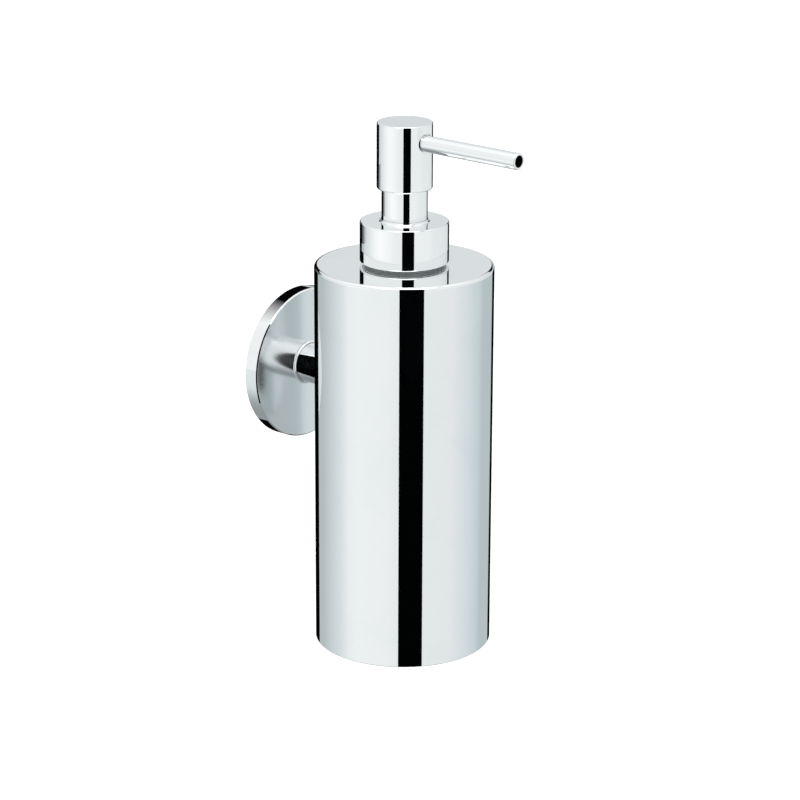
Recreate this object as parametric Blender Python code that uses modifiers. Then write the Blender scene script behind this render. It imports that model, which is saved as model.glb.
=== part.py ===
"""Wall mounted soap dispenser: a chromed cylinder on a short round arm, with a lotion pump.

Frame: the origin is the centre of the wall plate's back face, the wall is the plane y = 0, the
dispenser stands out along -Y, and +Z is up. Blender works in metres, and the sizes below are in
millimetres times MM. Heights named ..._Z are in that frame.
"""

import math

import bmesh
import bpy
from mathutils import Matrix, Vector

MM = 0.001
TOUCH = 0.1 * MM  # gap between pieces that rest on each other
SLIP = 0.3 * MM  # gap between pieces that slide or turn in each other

# Driving dimensions
BODY_R = 27.5 * MM
BODY_H = 121.5 * MM
AXIS_OUT = 44.5 * MM  # from the wall to the axis of the cylinder and the pump
ARM_UP = 82.0 * MM  # the arm's height above the cylinder's lower edge
ROSETTE_R = 24.0 * MM
ROSETTE_DEEP = 4.8 * MM
ARM_R = 6.3 * MM
COLLAR_R = 13.6 * MM
COLLAR_H = 12.6 * MM
SLEEVE_R = 7.0 * MM
HEAD_R = 8.5 * MM
HEAD_H = 20.4 * MM
NECK_SHOWS = 10.1 * MM  # of the sleeve, between the collar and the head
STROKE = 9.0 * MM
SPOUT_R = 2.5 * MM
SPOUT_BORE_R = 1.8 * MM
SPOUT_REACH = 43.6 * MM  # from the pump's axis to the spout's open end

# Heights that follow from them
BASE_Z = -ARM_UP
TOP_Z = BASE_Z + BODY_H
GASKET_GAP = 1.0 * MM
COLLAR_Z = TOP_Z + GASKET_GAP
COLLAR_TOP_Z = COLLAR_Z + COLLAR_H
HEAD_Z = COLLAR_TOP_Z + NECK_SHOWS
HEAD_TOP_Z = HEAD_Z + HEAD_H
SPOUT_Z = HEAD_TOP_Z - 5.5 * MM

# Cylinder, base and bottle
SHELL_WALL = 1.2 * MM
TOP_PLATE = 1.5 * MM
SHELL_BORE_R = BODY_R - SHELL_WALL
NECK_HOLE_R = 11.1 * MM
BOTTLE_R = 21.5 * MM
BOTTLE_WALL = 1.0 * MM
BOTTLE_Z = BASE_Z + 2.4 * MM
BOTTLE_SHOULDER_Z = TOP_Z - TOP_PLATE - TOUCH
NECK_R = 9.7 * MM
NECK_BORE_R = 8.5 * MM
THREAD_R = 10.7 * MM
THREAD_PITCH = 2.5 * MM
THREAD_Z = COLLAR_Z + 2.2 * MM
PUNT = 0.8 * MM  # rise of the bottle's floor to its middle
NECK_RIM_Z = COLLAR_Z + 8.3 * MM

# Pump, from the bottle's rim up and down
SEAL_THICK = 0.6 * MM
FLANGE_THICK = 1.0 * MM
FLANGE_R = 10.4 * MM
FLANGE_Z = NECK_RIM_Z + SEAL_THICK + 2 * TOUCH
FLANGE_TOP_Z = FLANGE_Z + FLANGE_THICK
BARREL_R = 6.0 * MM
BARREL_BORE_R = 5.1 * MM
BARREL_Z = FLANGE_TOP_Z - 33.6 * MM  # the step that the spring stands on
BALL_R = 2.0 * MM
BALL_LIFT = 1.5 * MM
SEAT_R = 1.5 * MM
CHAMBER_R = 2.7 * MM
SEAT_Z = BARREL_Z - 6.7 * MM
TUBE_R = 2.4 * MM
TUBE_BORE_R = 1.7 * MM
TUBE_TOP_Z = SEAT_Z - 1.2 * MM
TUBE_END_Z = BASE_Z + 7.0 * MM
STEM_R = 3.0 * MM
STEM_BORE_R = 1.7 * MM
BUSH_DEEP = 6.5 * MM
PISTON_H = 6.0 * MM
PISTON_Z = FLANGE_TOP_Z - BUSH_DEEP - TOUCH - PISTON_H
STEM_FOOT = 1.4 * MM
STEM_Z = PISTON_Z - TOUCH - STEM_FOOT
SPRING_WIRE_R = 0.4 * MM
SPRING_R = 4.1 * MM
SPRING_TURNS = 7

# Wall side
PLATE_THICK = 2.0 * MM
PLATE_R = 21.8 * MM
BOSS_R = 4.2 * MM
BOSS_LONG = 7.6 * MM
ARM_BORE_R = BOSS_R + SLIP
WALL_HOLE_R = 2.3 * MM
WALL_HOLE_OUT = 14.5 * MM
SLOT_HALF = 1.6 * MM
BOSS_FLAT = 3.3 * MM  # from the boss's axis to the flat that the grub screw presses on
ROSETTE_SKIN = 1.2 * MM
ARM_END = AXIS_OUT - BODY_R  # the wall's distance to the cylinder's surface
WASHER_END = ARM_END + 2.6 * MM
GRUB_R = 1.9 * MM
GRUB_OUT = 7.0 * MM

ROUND_STEPS = 40
FINE_STEPS = 24
SMALL_STEPS = 16

COLOURS = {
    "chrome": ((0.86, 0.87, 0.88), 0.04, 1.0),
    "zinc": ((0.58, 0.59, 0.61), 0.42, 1.0),
    "steel": ((0.66, 0.67, 0.69), 0.28, 1.0),
    "natural_plastic": ((0.90, 0.91, 0.90), 0.35, 0.0),
    "white_plastic": ((0.93, 0.93, 0.92), 0.32, 0.0),
    "grey_rubber": ((0.33, 0.34, 0.35), 0.60, 0.0),
    "black_rubber": ((0.03, 0.03, 0.03), 0.62, 0.0),
    "glass_ball": ((0.80, 0.84, 0.84), 0.08, 0.0),
}

ON_AXIS = Matrix.Translation((0, -AXIS_OUT, 0))  # the cylinder's and the pump's axis, upright
OFF_WALL = Matrix.Rotation(math.pi / 2, 4, "X")  # local +Z points out of the wall


def clear_scene():
    for obj in list(bpy.data.objects):
        bpy.data.objects.remove(obj)


def new_collection(name):
    made = bpy.data.collections.new(name)
    bpy.context.scene.collection.children.link(made)
    return made


def make_materials():
    made = {}
    for name, (colour, roughness, metallic) in COLOURS.items():
        material = bpy.data.materials.new(name)
        material.use_nodes = True
        shader = material.node_tree.nodes["Principled BSDF"]
        shader.inputs["Base Color"].default_value = (*colour, 1)
        shader.inputs["Roughness"].default_value = roughness
        shader.inputs["Metallic"].default_value = metallic
        made[name] = material
    return made


def place(obj, finish, matrix):
    """Puts a finished object in the dispenser's collection, or with the cutters where finish is None."""
    obj.matrix_world = matrix
    if finish is None:
        obj.hide_render = True
        obj.display_type = "WIRE"
        CUTTERS.objects.link(obj)
        return obj
    obj.data.materials.append(MATERIALS[finish])
    DISPENSER.objects.link(obj)
    return obj


def rounded(corners, arc_steps=2):
    """An outline from (radius, height, fillet) corners, each fillet an arc that touches both sides."""
    points = []
    for i, (r, z, fillet) in enumerate(corners):
        here = Vector((r, z))
        if fillet == 0:
            points.append(here)
            continue
        before = Vector(corners[i - 1][:2]) - here
        after = Vector(corners[(i + 1) % len(corners)][:2]) - here
        half = before.angle(after) / 2
        back = fillet / math.tan(half)
        middle = (before.normalized() + after.normalized()).normalized()
        centre = here + middle * fillet / math.sin(half)
        start = here + before.normalized() * back - centre
        end = here + after.normalized() * back - centre
        sweep = start.angle_signed(end)
        for k in range(arc_steps + 1):
            turn = Matrix.Rotation(-sweep * k / arc_steps, 2)
            points.append(centre + turn @ start)
    return points


def turned(name, corners, finish, matrix, steps=ROUND_STEPS, ring=True):
    """A body turned about local Z. The outline runs down its outer side, and a ring's goes back up inside."""
    points = rounded(corners)
    mesh = bpy.data.meshes.new(name)
    edges = [(i, i + 1) for i in range(len(points) - 1)]
    if ring:
        edges.append((len(points) - 1, 0))
    mesh.from_pydata([(p.x, 0, p.y) for p in points], edges, [])
    obj = bpy.data.objects.new(name, mesh)
    place(obj, finish, matrix)
    screw = obj.modifiers.new("turn", "SCREW")
    screw.steps = steps
    screw.render_steps = steps
    screw.use_merge_vertices = True
    screw.merge_threshold = 0.00001
    screw.use_smooth_shade = True
    return obj


def solid_turned(name, corners, finish, matrix, steps=ROUND_STEPS):
    """A turned body whose outline starts and ends on the axis."""
    return turned(name, corners, finish, matrix, steps, ring=False)


def rod(name, radius, start, end, steps=SMALL_STEPS):
    """A cutter: a round bar between two points."""
    start, end = Vector(start), Vector(end)
    mesh = bpy.data.meshes.new(name)
    shape = bmesh.new()
    bmesh.ops.create_cone(
        shape,
        cap_ends=True,
        segments=steps,
        radius1=radius,
        radius2=radius,
        depth=(end - start).length,
    )
    shape.to_mesh(mesh)
    shape.free()
    turn = (end - start).to_track_quat("Z", "Y").to_matrix().to_4x4()
    matrix = Matrix.Translation((start + end) / 2) @ turn
    return place(bpy.data.objects.new(name, mesh), None, matrix)


def block(name, low, high, matrix=Matrix()):
    """A cutter: a box between two corners."""
    low, high = Vector(low), Vector(high)
    mesh = bpy.data.meshes.new(name)
    shape = bmesh.new()
    size = Matrix.Diagonal((*(high - low), 1))
    bmesh.ops.create_cube(shape, size=1, matrix=Matrix.Translation((low + high) / 2) @ size)
    shape.to_mesh(mesh)
    shape.free()
    return place(bpy.data.objects.new(name, mesh), None, matrix)


def cut(obj, *cutters, operation="DIFFERENCE"):
    for cutter in cutters:
        boolean = obj.modifiers.new(cutter.name, "BOOLEAN")
        boolean.operation = operation
        boolean.object = cutter
    return obj


def hexagon(name, across, start, end):
    """A cutter for a hexagon socket, its width across flats given."""
    return rod(name, across / math.sqrt(3), start, end, steps=6)


# ---------------------------------------------------------------- wall side


def make_wall_plate():
    """Cast plate with a blind boss that carries the arm, a round hole, and a slot for levelling."""
    boss_end = PLATE_THICK + BOSS_LONG
    plate = solid_turned(
        "wall_plate",
        [
            (0, boss_end, 0),
            (BOSS_R, boss_end, 0.5 * MM),
            (BOSS_R, PLATE_THICK, 0),
            (PLATE_R, PLATE_THICK, 0.4 * MM),
            (PLATE_R, 0, 0),
            (0, 0, 0),
        ],
        "zinc",
        OFF_WALL,
    )
    behind = 1 * MM
    through = -PLATE_THICK - 1 * MM
    cut(plate, rod("upper_hole", WALL_HOLE_R, (0, behind, WALL_HOLE_OUT), (0, through, WALL_HOLE_OUT)))
    for side in (-1, 1):
        x = side * SLOT_HALF
        end = rod(f"slot_end_{side}", WALL_HOLE_R, (x, behind, -WALL_HOLE_OUT), (x, through, -WALL_HOLE_OUT))
        cut(plate, end)
    slot = block(
        "slot_middle",
        (-SLOT_HALF, through, -WALL_HOLE_OUT - WALL_HOLE_R),
        (SLOT_HALF, behind, -WALL_HOLE_OUT + WALL_HOLE_R),
    )
    flat = block(
        "boss_flat",
        (-BOSS_R, -GRUB_OUT - 2.1 * MM, -2 * BOSS_R),
        (BOSS_R, -GRUB_OUT + 2.1 * MM, -BOSS_FLAT),
    )
    return cut(plate, slot, flat)


def make_rosette():
    """Cover cup over the wall plate, with the arm through its middle."""
    hole_r = ARM_R + TOUCH
    inner_r = ROSETTE_R - 1.6 * MM
    return turned(
        "rosette",
        [
            (hole_r, ROSETTE_DEEP, 0),
            (ROSETTE_R, ROSETTE_DEEP, 0.35 * MM),
            (ROSETTE_R, 0, 0.15 * MM),
            (inner_r, 0, 0),
            (inner_r, ROSETTE_DEEP - ROSETTE_SKIN, 0),
            (hole_r, ROSETTE_DEEP - ROSETTE_SKIN, 0),
        ],
        "chrome",
        OFF_WALL,
    )


def make_arm():
    """Round arm: a flange behind the rosette, a bore over the boss, and a tapped end against the cylinder."""
    flange_top = ROSETTE_DEEP - ROSETTE_SKIN - TOUCH
    flange_z = PLATE_THICK + TOUCH
    bore_end = PLATE_THICK + BOSS_LONG + SLIP
    arm = solid_turned(
        "arm",
        [
            (0, ARM_END + 2 * MM, 0),
            (ARM_R, ARM_END + 2 * MM, 0),
            (ARM_R, flange_top, 0),
            (ARM_R + 2 * MM, flange_top, 0),
            (ARM_R + 2 * MM, flange_z, 0),
            (ARM_BORE_R, flange_z, 0),
            (ARM_BORE_R, bore_end, 0),
            (0, bore_end, 0),
        ],
        "chrome",
        OFF_WALL,
        steps=FINE_STEPS,
    )
    saddle = rod(
        "arm_saddle",
        BODY_R + TOUCH,
        (0, -AXIS_OUT, -12 * MM),
        (0, -AXIS_OUT, 12 * MM),
        steps=ROUND_STEPS * 2,
    )
    tapped = rod("arm_tapped_hole", 2.6 * MM, (0, -bore_end + 1 * MM, 0), (0, -ARM_END - 3 * MM, 0))
    grub_hole = rod("grub_hole", GRUB_R + TOUCH, (0, -GRUB_OUT, -8 * MM), (0, -GRUB_OUT, 0))
    return cut(arm, saddle, tapped, grub_hole)


def make_arm_grub_screw():
    """Socket set screw from under the arm: it presses on the boss's flat."""
    top = -BOSS_FLAT - TOUCH
    foot = -ARM_R + 0.5 * MM
    screw = solid_turned(
        "arm_grub_screw",
        [
            (0, top, 0),
            (GRUB_R - 0.6 * MM, top, 0),
            (GRUB_R, top - 0.6 * MM, 0),
            (GRUB_R, foot, 0.2 * MM),
            (0, foot, 0),
        ],
        "steel",
        Matrix.Translation((0, -GRUB_OUT, 0)),
        steps=SMALL_STEPS,
    )
    socket = hexagon("grub_socket", 2.0 * MM, (0, -GRUB_OUT, foot - 1 * MM), (0, -GRUB_OUT, foot + 1.1 * MM))
    return cut(screw, socket)


def make_saddle_washer():
    """Washer inside the cylinder, curved to its wall, that spreads the arm screw's pull."""
    washer = turned(
        "saddle_washer",
        [
            (2.7 * MM, WASHER_END, 0),
            (5.0 * MM, WASHER_END, 0),
            (5.0 * MM, ARM_END, 0),
            (2.7 * MM, ARM_END, 0),
        ],
        "steel",
        OFF_WALL,
        steps=FINE_STEPS,
    )
    inside = rod(
        "washer_wall",
        SHELL_BORE_R - TOUCH,
        (0, -AXIS_OUT, -12 * MM),
        (0, -AXIS_OUT, 12 * MM),
        steps=ROUND_STEPS * 2,
    )
    return cut(washer, inside, operation="INTERSECT")


def make_arm_screw():
    """Pan head screw from inside the cylinder into the arm's end, with a hexagon socket."""
    seat = WASHER_END + TOUCH
    head_end = seat + 1.9 * MM
    tip = ARM_END - 6.2 * MM
    screw = solid_turned(
        "arm_screw",
        [
            (0, head_end, 0),
            (4.2 * MM, head_end, 0.8 * MM),
            (4.2 * MM, seat, 0),
            (2.4 * MM, seat, 0),
            (2.4 * MM, tip, 0.5 * MM),
            (0, tip, 0),
        ],
        "steel",
        OFF_WALL,
        steps=SMALL_STEPS,
    )
    socket = hexagon("arm_screw_socket", 3.0 * MM, (0, -head_end - 1 * MM, 0), (0, -head_end + 1.3 * MM, 0))
    return cut(screw, socket)


# ---------------------------------------------------------------- cylinder


def make_body_shell():
    """Drawn cylinder, closed at the top but for the bottle's neck, and open below."""
    shell = turned(
        "body_shell",
        [
            (NECK_HOLE_R, TOP_Z, 0),
            (BODY_R, TOP_Z, 1.0 * MM),
            (BODY_R, BASE_Z, 0.25 * MM),
            (SHELL_BORE_R, BASE_Z, 0),
            (SHELL_BORE_R, TOP_Z - TOP_PLATE, 0),
            (NECK_HOLE_R, TOP_Z - TOP_PLATE, 0),
        ],
        "chrome",
        ON_AXIS,
        steps=ROUND_STEPS,
    )
    hole = rod("shell_screw_hole", 2.8 * MM, (0, -ARM_END + 3 * MM, 0), (0, -ARM_END - 4 * MM, 0))
    return cut(shell, hole)


def make_base_cap():
    """Push-in cap that closes the cylinder from below, with a groove for its ring."""
    low = BASE_Z + 0.5 * MM
    plate_top = low + 1.6 * MM
    rim_top = low + 6.0 * MM
    rim_r = SHELL_BORE_R - 0.2 * MM
    inner_r = rim_r - 2.6 * MM
    groove_r = rim_r - 1.3 * MM
    groove_low = low + 2.6 * MM
    groove_high = low + 4.3 * MM
    return solid_turned(
        "base_cap",
        [
            (0, plate_top, 0),
            (inner_r, plate_top, 0),
            (inner_r, rim_top, 0),
            (rim_r, rim_top, 0.3 * MM),
            (rim_r, groove_high, 0),
            (groove_r, groove_high, 0),
            (groove_r, groove_low, 0),
            (rim_r, groove_low, 0),
            (rim_r, low, 0.3 * MM),
            (0, low, 0),
        ],
        "chrome",
        ON_AXIS,
    )


def make_base_oring():
    """Rubber ring that holds the base cap by friction."""
    section_r = 0.65 * MM
    ring_r = SHELL_BORE_R - section_r - TOUCH / 2
    middle_z = BASE_Z + 3.95 * MM
    sides = 8
    corners = []
    for i in range(sides):
        turn = -2 * math.pi * (i + 0.5) / sides
        corners.append((ring_r + section_r * math.cos(turn), middle_z + section_r * math.sin(turn), 0))
    return turned("base_oring", corners, "black_rubber", ON_AXIS, steps=ROUND_STEPS)


def make_inner_bottle():
    """Blown liner for the soap. Its neck stands through the top plate, with two thread crests."""
    inner_r = BOTTLE_R - BOTTLE_WALL
    inner_shoulder_z = BOTTLE_SHOULDER_Z - BOTTLE_WALL
    outline = [
        (0, BOTTLE_Z + PUNT + BOTTLE_WALL, 0),
        (inner_r, BOTTLE_Z + BOTTLE_WALL, 2 * MM),
        (inner_r, inner_shoulder_z, 3 * MM),
        (NECK_BORE_R, inner_shoulder_z, 0),
        (NECK_BORE_R, NECK_RIM_Z, 0),
        (NECK_R, NECK_RIM_Z, 0.2 * MM),
    ]
    for crest_z in (THREAD_Z + THREAD_PITCH, THREAD_Z):
        outline += [
            (NECK_R, crest_z + 0.6 * MM, 0),
            (THREAD_R, crest_z + 0.2 * MM, 0),
            (THREAD_R, crest_z - 0.2 * MM, 0),
            (NECK_R, crest_z - 0.6 * MM, 0),
        ]
    outline += [
        (NECK_R, BOTTLE_SHOULDER_Z, 0),
        (BOTTLE_R, BOTTLE_SHOULDER_Z, 4 * MM),
        (BOTTLE_R, BOTTLE_Z, 3 * MM),
        (0, BOTTLE_Z + PUNT, 0),
    ]
    return solid_turned("inner_bottle", outline, "natural_plastic", ON_AXIS, steps=FINE_STEPS)


# ---------------------------------------------------------------- collar


def make_collar_gasket():
    """Soft ring between the collar and the cylinder's top."""
    return turned(
        "collar_gasket",
        [
            (12.5 * MM, COLLAR_Z - TOUCH, 0),
            (12.5 * MM, TOP_Z + TOUCH, 0),
            (NECK_HOLE_R + TOUCH, TOP_Z + TOUCH, 0),
            (NECK_HOLE_R + TOUCH, COLLAR_Z - TOUCH, 0),
        ],
        "grey_rubber",
        ON_AXIS,
        steps=FINE_STEPS,
    )


def make_collar_shell():
    """Chromed cap over the threaded nut, with a hole for the sleeve."""
    wall = 0.8 * MM
    hole_r = SLEEVE_R + TOUCH
    return turned(
        "collar_shell",
        [
            (hole_r, COLLAR_TOP_Z, 0),
            (COLLAR_R, COLLAR_TOP_Z, 0.4 * MM),
            (COLLAR_R, COLLAR_Z, 0.75 * MM),
            (COLLAR_R - wall, COLLAR_Z, 0),
            (COLLAR_R - wall, COLLAR_TOP_Z - 1.0 * MM, 0),
            (hole_r, COLLAR_TOP_Z - 1.0 * MM, 0),
        ],
        "chrome",
        ON_AXIS,
        steps=FINE_STEPS,
    )


def make_collar_nut():
    """Threaded closure: it turns on the bottle's neck and presses the pump's flange on the rim."""
    outer_r = COLLAR_R - 0.8 * MM - TOUCH
    bore_r = THREAD_R + SLIP
    ledge = FLANGE_TOP_Z + TOUCH
    return turned(
        "collar_nut",
        [
            (8.9 * MM, ledge + 1.0 * MM, 0),
            (outer_r, ledge + 1.0 * MM, 0.3 * MM),
            (outer_r, COLLAR_Z, 0),
            (bore_r, COLLAR_Z, 0),
            (bore_r, ledge, 0),
            (8.9 * MM, ledge, 0),
        ],
        "white_plastic",
        ON_AXIS,
        steps=FINE_STEPS,
    )


def make_neck_sleeve():
    """Chromed chimney that the head slides over. Its foot is held under the collar's top."""
    foot = FLANGE_TOP_Z + TOUCH
    foot_top = COLLAR_TOP_Z - 1.0 * MM - TOUCH
    return turned(
        "neck_sleeve",
        [
            (SLEEVE_R - 0.6 * MM, HEAD_Z + 1.6 * MM, 0),
            (SLEEVE_R, HEAD_Z + 1.6 * MM, 0.2 * MM),
            (SLEEVE_R, foot_top, 0),
            (8.6 * MM, foot_top, 0),
            (8.6 * MM, foot, 0),
            (SLEEVE_R - 0.6 * MM, foot, 0),
        ],
        "chrome",
        ON_AXIS,
        steps=FINE_STEPS,
    )


# ---------------------------------------------------------------- pump


def make_mouth_seal():
    """Soft washer between the bottle's rim and the pump's flange."""
    return turned(
        "mouth_seal",
        [
            (NECK_R - TOUCH, FLANGE_Z - TOUCH, 0),
            (NECK_R - TOUCH, NECK_RIM_Z + TOUCH, 0),
            (BARREL_R + SLIP, NECK_RIM_Z + TOUCH, 0),
            (BARREL_R + SLIP, FLANGE_Z - TOUCH, 0),
        ],
        "grey_rubber",
        ON_AXIS,
        steps=FINE_STEPS,
    )


def make_pump_cylinder():
    """Moulded barrel: flange, bore, ball chamber with a snap lip, seat, and socket for the tube."""
    lip_z = SEAT_Z + 4.0 * MM
    socket_r = TUBE_R + TOUCH
    socket_end = TUBE_TOP_Z - 7.0 * MM
    neck_out_r = 3.6 * MM
    return turned(
        "pump_cylinder",
        [
            (BARREL_BORE_R, FLANGE_TOP_Z, 0),
            (FLANGE_R, FLANGE_TOP_Z, 0),
            (FLANGE_R, FLANGE_Z, 0),
            (BARREL_R, FLANGE_Z, 0),
            (BARREL_R, BARREL_Z - 1.0 * MM, 0),
            (neck_out_r, BARREL_Z - 2.6 * MM, 0),
            (neck_out_r, socket_end, 0),
            (socket_r, socket_end, 0),
            (socket_r, TUBE_TOP_Z + TOUCH, 0),
            (SEAT_R, TUBE_TOP_Z + TOUCH, 0),
            (SEAT_R, SEAT_Z, 0),
            (CHAMBER_R, SEAT_Z + CHAMBER_R - SEAT_R, 0),
            (CHAMBER_R, lip_z, 0),
            (BALL_R - 0.25 * MM, lip_z, 0),
            (BALL_R - 0.25 * MM, lip_z + 0.6 * MM, 0),
            (CHAMBER_R, BARREL_Z - 1.4 * MM, 0),
            (CHAMBER_R, BARREL_Z, 0),
            (BARREL_BORE_R, BARREL_Z, 0),
        ],
        "white_plastic",
        ON_AXIS,
        steps=FINE_STEPS,
    )


def make_valve_ball():
    """Ball of the lower check valve, on its seat."""
    rise = math.sqrt(BALL_R**2 - SEAT_R**2)
    mesh = bpy.data.meshes.new("valve_ball")
    shape = bmesh.new()
    bmesh.ops.create_uvsphere(shape, u_segments=16, v_segments=10, radius=BALL_R)
    shape.to_mesh(mesh)
    shape.free()
    matrix = ON_AXIS @ Matrix.Translation((0, 0, SEAT_Z + rise + TOUCH))
    return place(bpy.data.objects.new("valve_ball", mesh), "glass_ball", matrix)


def make_dip_tube():
    """Straight tube down to the bottle's floor, its end cut at a slant."""
    tube = turned(
        "dip_tube",
        [
            (TUBE_R, TUBE_TOP_Z, 0),
            (TUBE_R, TUBE_END_Z - 4 * MM, 0),
            (TUBE_BORE_R, TUBE_END_Z - 4 * MM, 0),
            (TUBE_BORE_R, TUBE_TOP_Z, 0),
        ],
        "natural_plastic",
        ON_AXIS,
        steps=SMALL_STEPS,
    )
    slant = Matrix.Translation((0, -AXIS_OUT, TUBE_END_Z)) @ Matrix.Rotation(math.radians(35), 4, "Y")
    waste = block("tube_slant", (-8 * MM, -8 * MM, -12 * MM), (8 * MM, 8 * MM, 0), slant)
    return cut(tube, waste)


def make_locking_bush():
    """Guide that snaps in the barrel's mouth, keeps the piston in and steadies the stem."""
    skirt_r = BARREL_BORE_R - TOUCH
    bore_r = STEM_R + TOUCH
    rim = FLANGE_TOP_Z + TOUCH
    return turned(
        "locking_bush",
        [
            (bore_r, rim + 4.2 * MM, 0),
            (4.1 * MM, rim + 4.2 * MM, 0.3 * MM),
            (4.1 * MM, rim + 1.0 * MM, 0),
            (BARREL_R, rim + 1.0 * MM, 0),
            (BARREL_R, rim, 0),
            (skirt_r, rim, 0),
            (skirt_r, FLANGE_TOP_Z - BUSH_DEEP, 0),
            (bore_r, FLANGE_TOP_Z - BUSH_DEEP, 0),
        ],
        "white_plastic",
        ON_AXIS,
        steps=SMALL_STEPS,
    )


def make_piston_seal():
    """Sliding piston with an upper and a lower lip."""
    lip_r = BARREL_BORE_R - TOUCH
    waist_r = BARREL_BORE_R - 0.9 * MM
    top = PISTON_Z + PISTON_H
    return turned(
        "piston_seal",
        [
            (STEM_R + TOUCH, top, 0),
            (waist_r, top, 0),
            (lip_r, top - 0.4 * MM, 0),
            (waist_r, top - 2.0 * MM, 0),
            (waist_r, PISTON_Z + 2.0 * MM, 0),
            (lip_r, PISTON_Z + 0.4 * MM, 0),
            (waist_r, PISTON_Z, 0),
            (STEM_R + TOUCH, PISTON_Z, 0),
        ],
        "natural_plastic",
        ON_AXIS,
        steps=SMALL_STEPS,
    )


def make_piston_stem():
    """Hollow plunger from the piston up into the head, with a foot on the spring and two ports."""
    top = HEAD_Z + 11.2 * MM
    foot_r = 4.6 * MM
    stem = turned(
        "piston_stem",
        [
            (STEM_BORE_R, top, 0),
            (STEM_R, top, 0.3 * MM),
            (STEM_R, STEM_Z + STEM_FOOT, 0),
            (foot_r, STEM_Z + STEM_FOOT, 0),
            (foot_r, STEM_Z, 0),
            (STEM_R, STEM_Z, 0),
            (STEM_R, STEM_Z - 1.8 * MM, 0.3 * MM),
            (STEM_BORE_R, STEM_Z - 1.8 * MM, 0),
        ],
        "white_plastic",
        ON_AXIS,
        steps=SMALL_STEPS,
    )
    return stem


def make_return_spring():
    """Wire spring between the barrel's step and the stem's foot."""
    low = BARREL_Z + SPRING_WIRE_R + TOUCH
    high = STEM_Z - SPRING_WIRE_R - TOUCH
    steps_per_turn = 10
    count = SPRING_TURNS * steps_per_turn
    curve = bpy.data.curves.new("return_spring", "CURVE")
    curve.dimensions = "3D"
    curve.bevel_depth = SPRING_WIRE_R
    curve.bevel_resolution = 2
    curve.use_fill_caps = True
    line = curve.splines.new("POLY")
    line.points.add(count)
    for i in range(count + 1):
        turn = 2 * math.pi * i / steps_per_turn
        height = low + (high - low) * i / count
        line.points[i].co = (SPRING_R * math.cos(turn), SPRING_R * math.sin(turn), height, 1)
    return place(bpy.data.objects.new("return_spring", curve), "steel", ON_AXIS)


# ---------------------------------------------------------------- head


def make_head_core():
    """Moulded insert that joins the stem to the spout inside the head."""
    low = HEAD_Z + 3.0 * MM
    disc_low = HEAD_Z + 12.0 * MM
    disc_r = HEAD_R - 1.1 * MM - TOUCH
    core = solid_turned(
        "head_core",
        [
            (0, HEAD_TOP_Z - 1.3 * MM, 0),
            (disc_r, HEAD_TOP_Z - 1.3 * MM, 0.3 * MM),
            (disc_r, disc_low, 0),
            (4.7 * MM, disc_low, 0),
            (4.7 * MM, low, 0.3 * MM),
            (STEM_R + TOUCH, low, 0),
            (STEM_R + TOUCH, HEAD_Z + 11.3 * MM, 0),
            (0, HEAD_Z + 11.3 * MM, 0),
        ],
        "white_plastic",
        ON_AXIS,
        steps=FINE_STEPS,
    )
    riser = rod("core_riser", STEM_BORE_R, (0, -AXIS_OUT, HEAD_Z + 9 * MM), (0, -AXIS_OUT, SPOUT_Z + 0.4 * MM))
    socket = rod("core_socket", SPOUT_R + TOUCH, (0, -AXIS_OUT - 2.6 * MM, SPOUT_Z), (0, -AXIS_OUT - 12 * MM, SPOUT_Z))
    crossing = rod("core_crossing", SPOUT_BORE_R, (0, -AXIS_OUT + 1 * MM, SPOUT_Z), (0, -AXIS_OUT - 6 * MM, SPOUT_Z))
    return cut(core, riser, socket, crossing)


def make_head_shell():
    """Chromed press head: a cup that slides over the sleeve, with a hole for the spout."""
    bore_r = HEAD_R - 1.1 * MM
    shell = solid_turned(
        "head_shell",
        [
            (0, HEAD_TOP_Z, 0),
            (HEAD_R, HEAD_TOP_Z, 0.35 * MM),
            (HEAD_R, HEAD_Z, 0.5 * MM),
            (bore_r, HEAD_Z, 0),
            (bore_r, HEAD_TOP_Z - 1.2 * MM, 0),
            (0, HEAD_TOP_Z - 1.2 * MM, 0),
        ],
        "chrome",
        ON_AXIS,
        steps=FINE_STEPS,
    )
    hole = rod("spout_hole", SPOUT_R + TOUCH, (0, -AXIS_OUT - 4 * MM, SPOUT_Z), (0, -AXIS_OUT - 12 * MM, SPOUT_Z))
    return cut(shell, hole)


def make_spout_tube():
    """Straight outlet tube, square to the pump."""
    start = 2.8 * MM
    return turned(
        "spout_tube",
        [
            (SPOUT_BORE_R, SPOUT_REACH, 0.15 * MM),
            (SPOUT_R, SPOUT_REACH, 0.2 * MM),
            (SPOUT_R, start, 0),
            (SPOUT_BORE_R, start, 0),
        ],
        "chrome",
        Matrix.Translation((0, -AXIS_OUT, SPOUT_Z)) @ OFF_WALL,
        steps=SMALL_STEPS,
    )


clear_scene()
DISPENSER = new_collection("wall_soap_dispenser")
CUTTERS = new_collection("cutters")
MATERIALS = make_materials()

make_wall_plate()
make_rosette()
make_arm()
make_arm_grub_screw()
make_saddle_washer()
make_arm_screw()
make_body_shell()
make_base_cap()
make_base_oring()
make_inner_bottle()
make_collar_gasket()
make_collar_shell()
make_collar_nut()
make_neck_sleeve()
make_mouth_seal()
make_pump_cylinder()
make_valve_ball()
make_dip_tube()
make_locking_bush()
make_piston_seal()
make_piston_stem()
make_return_spring()
make_head_core()
make_head_shell()
make_spout_tube()
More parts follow.
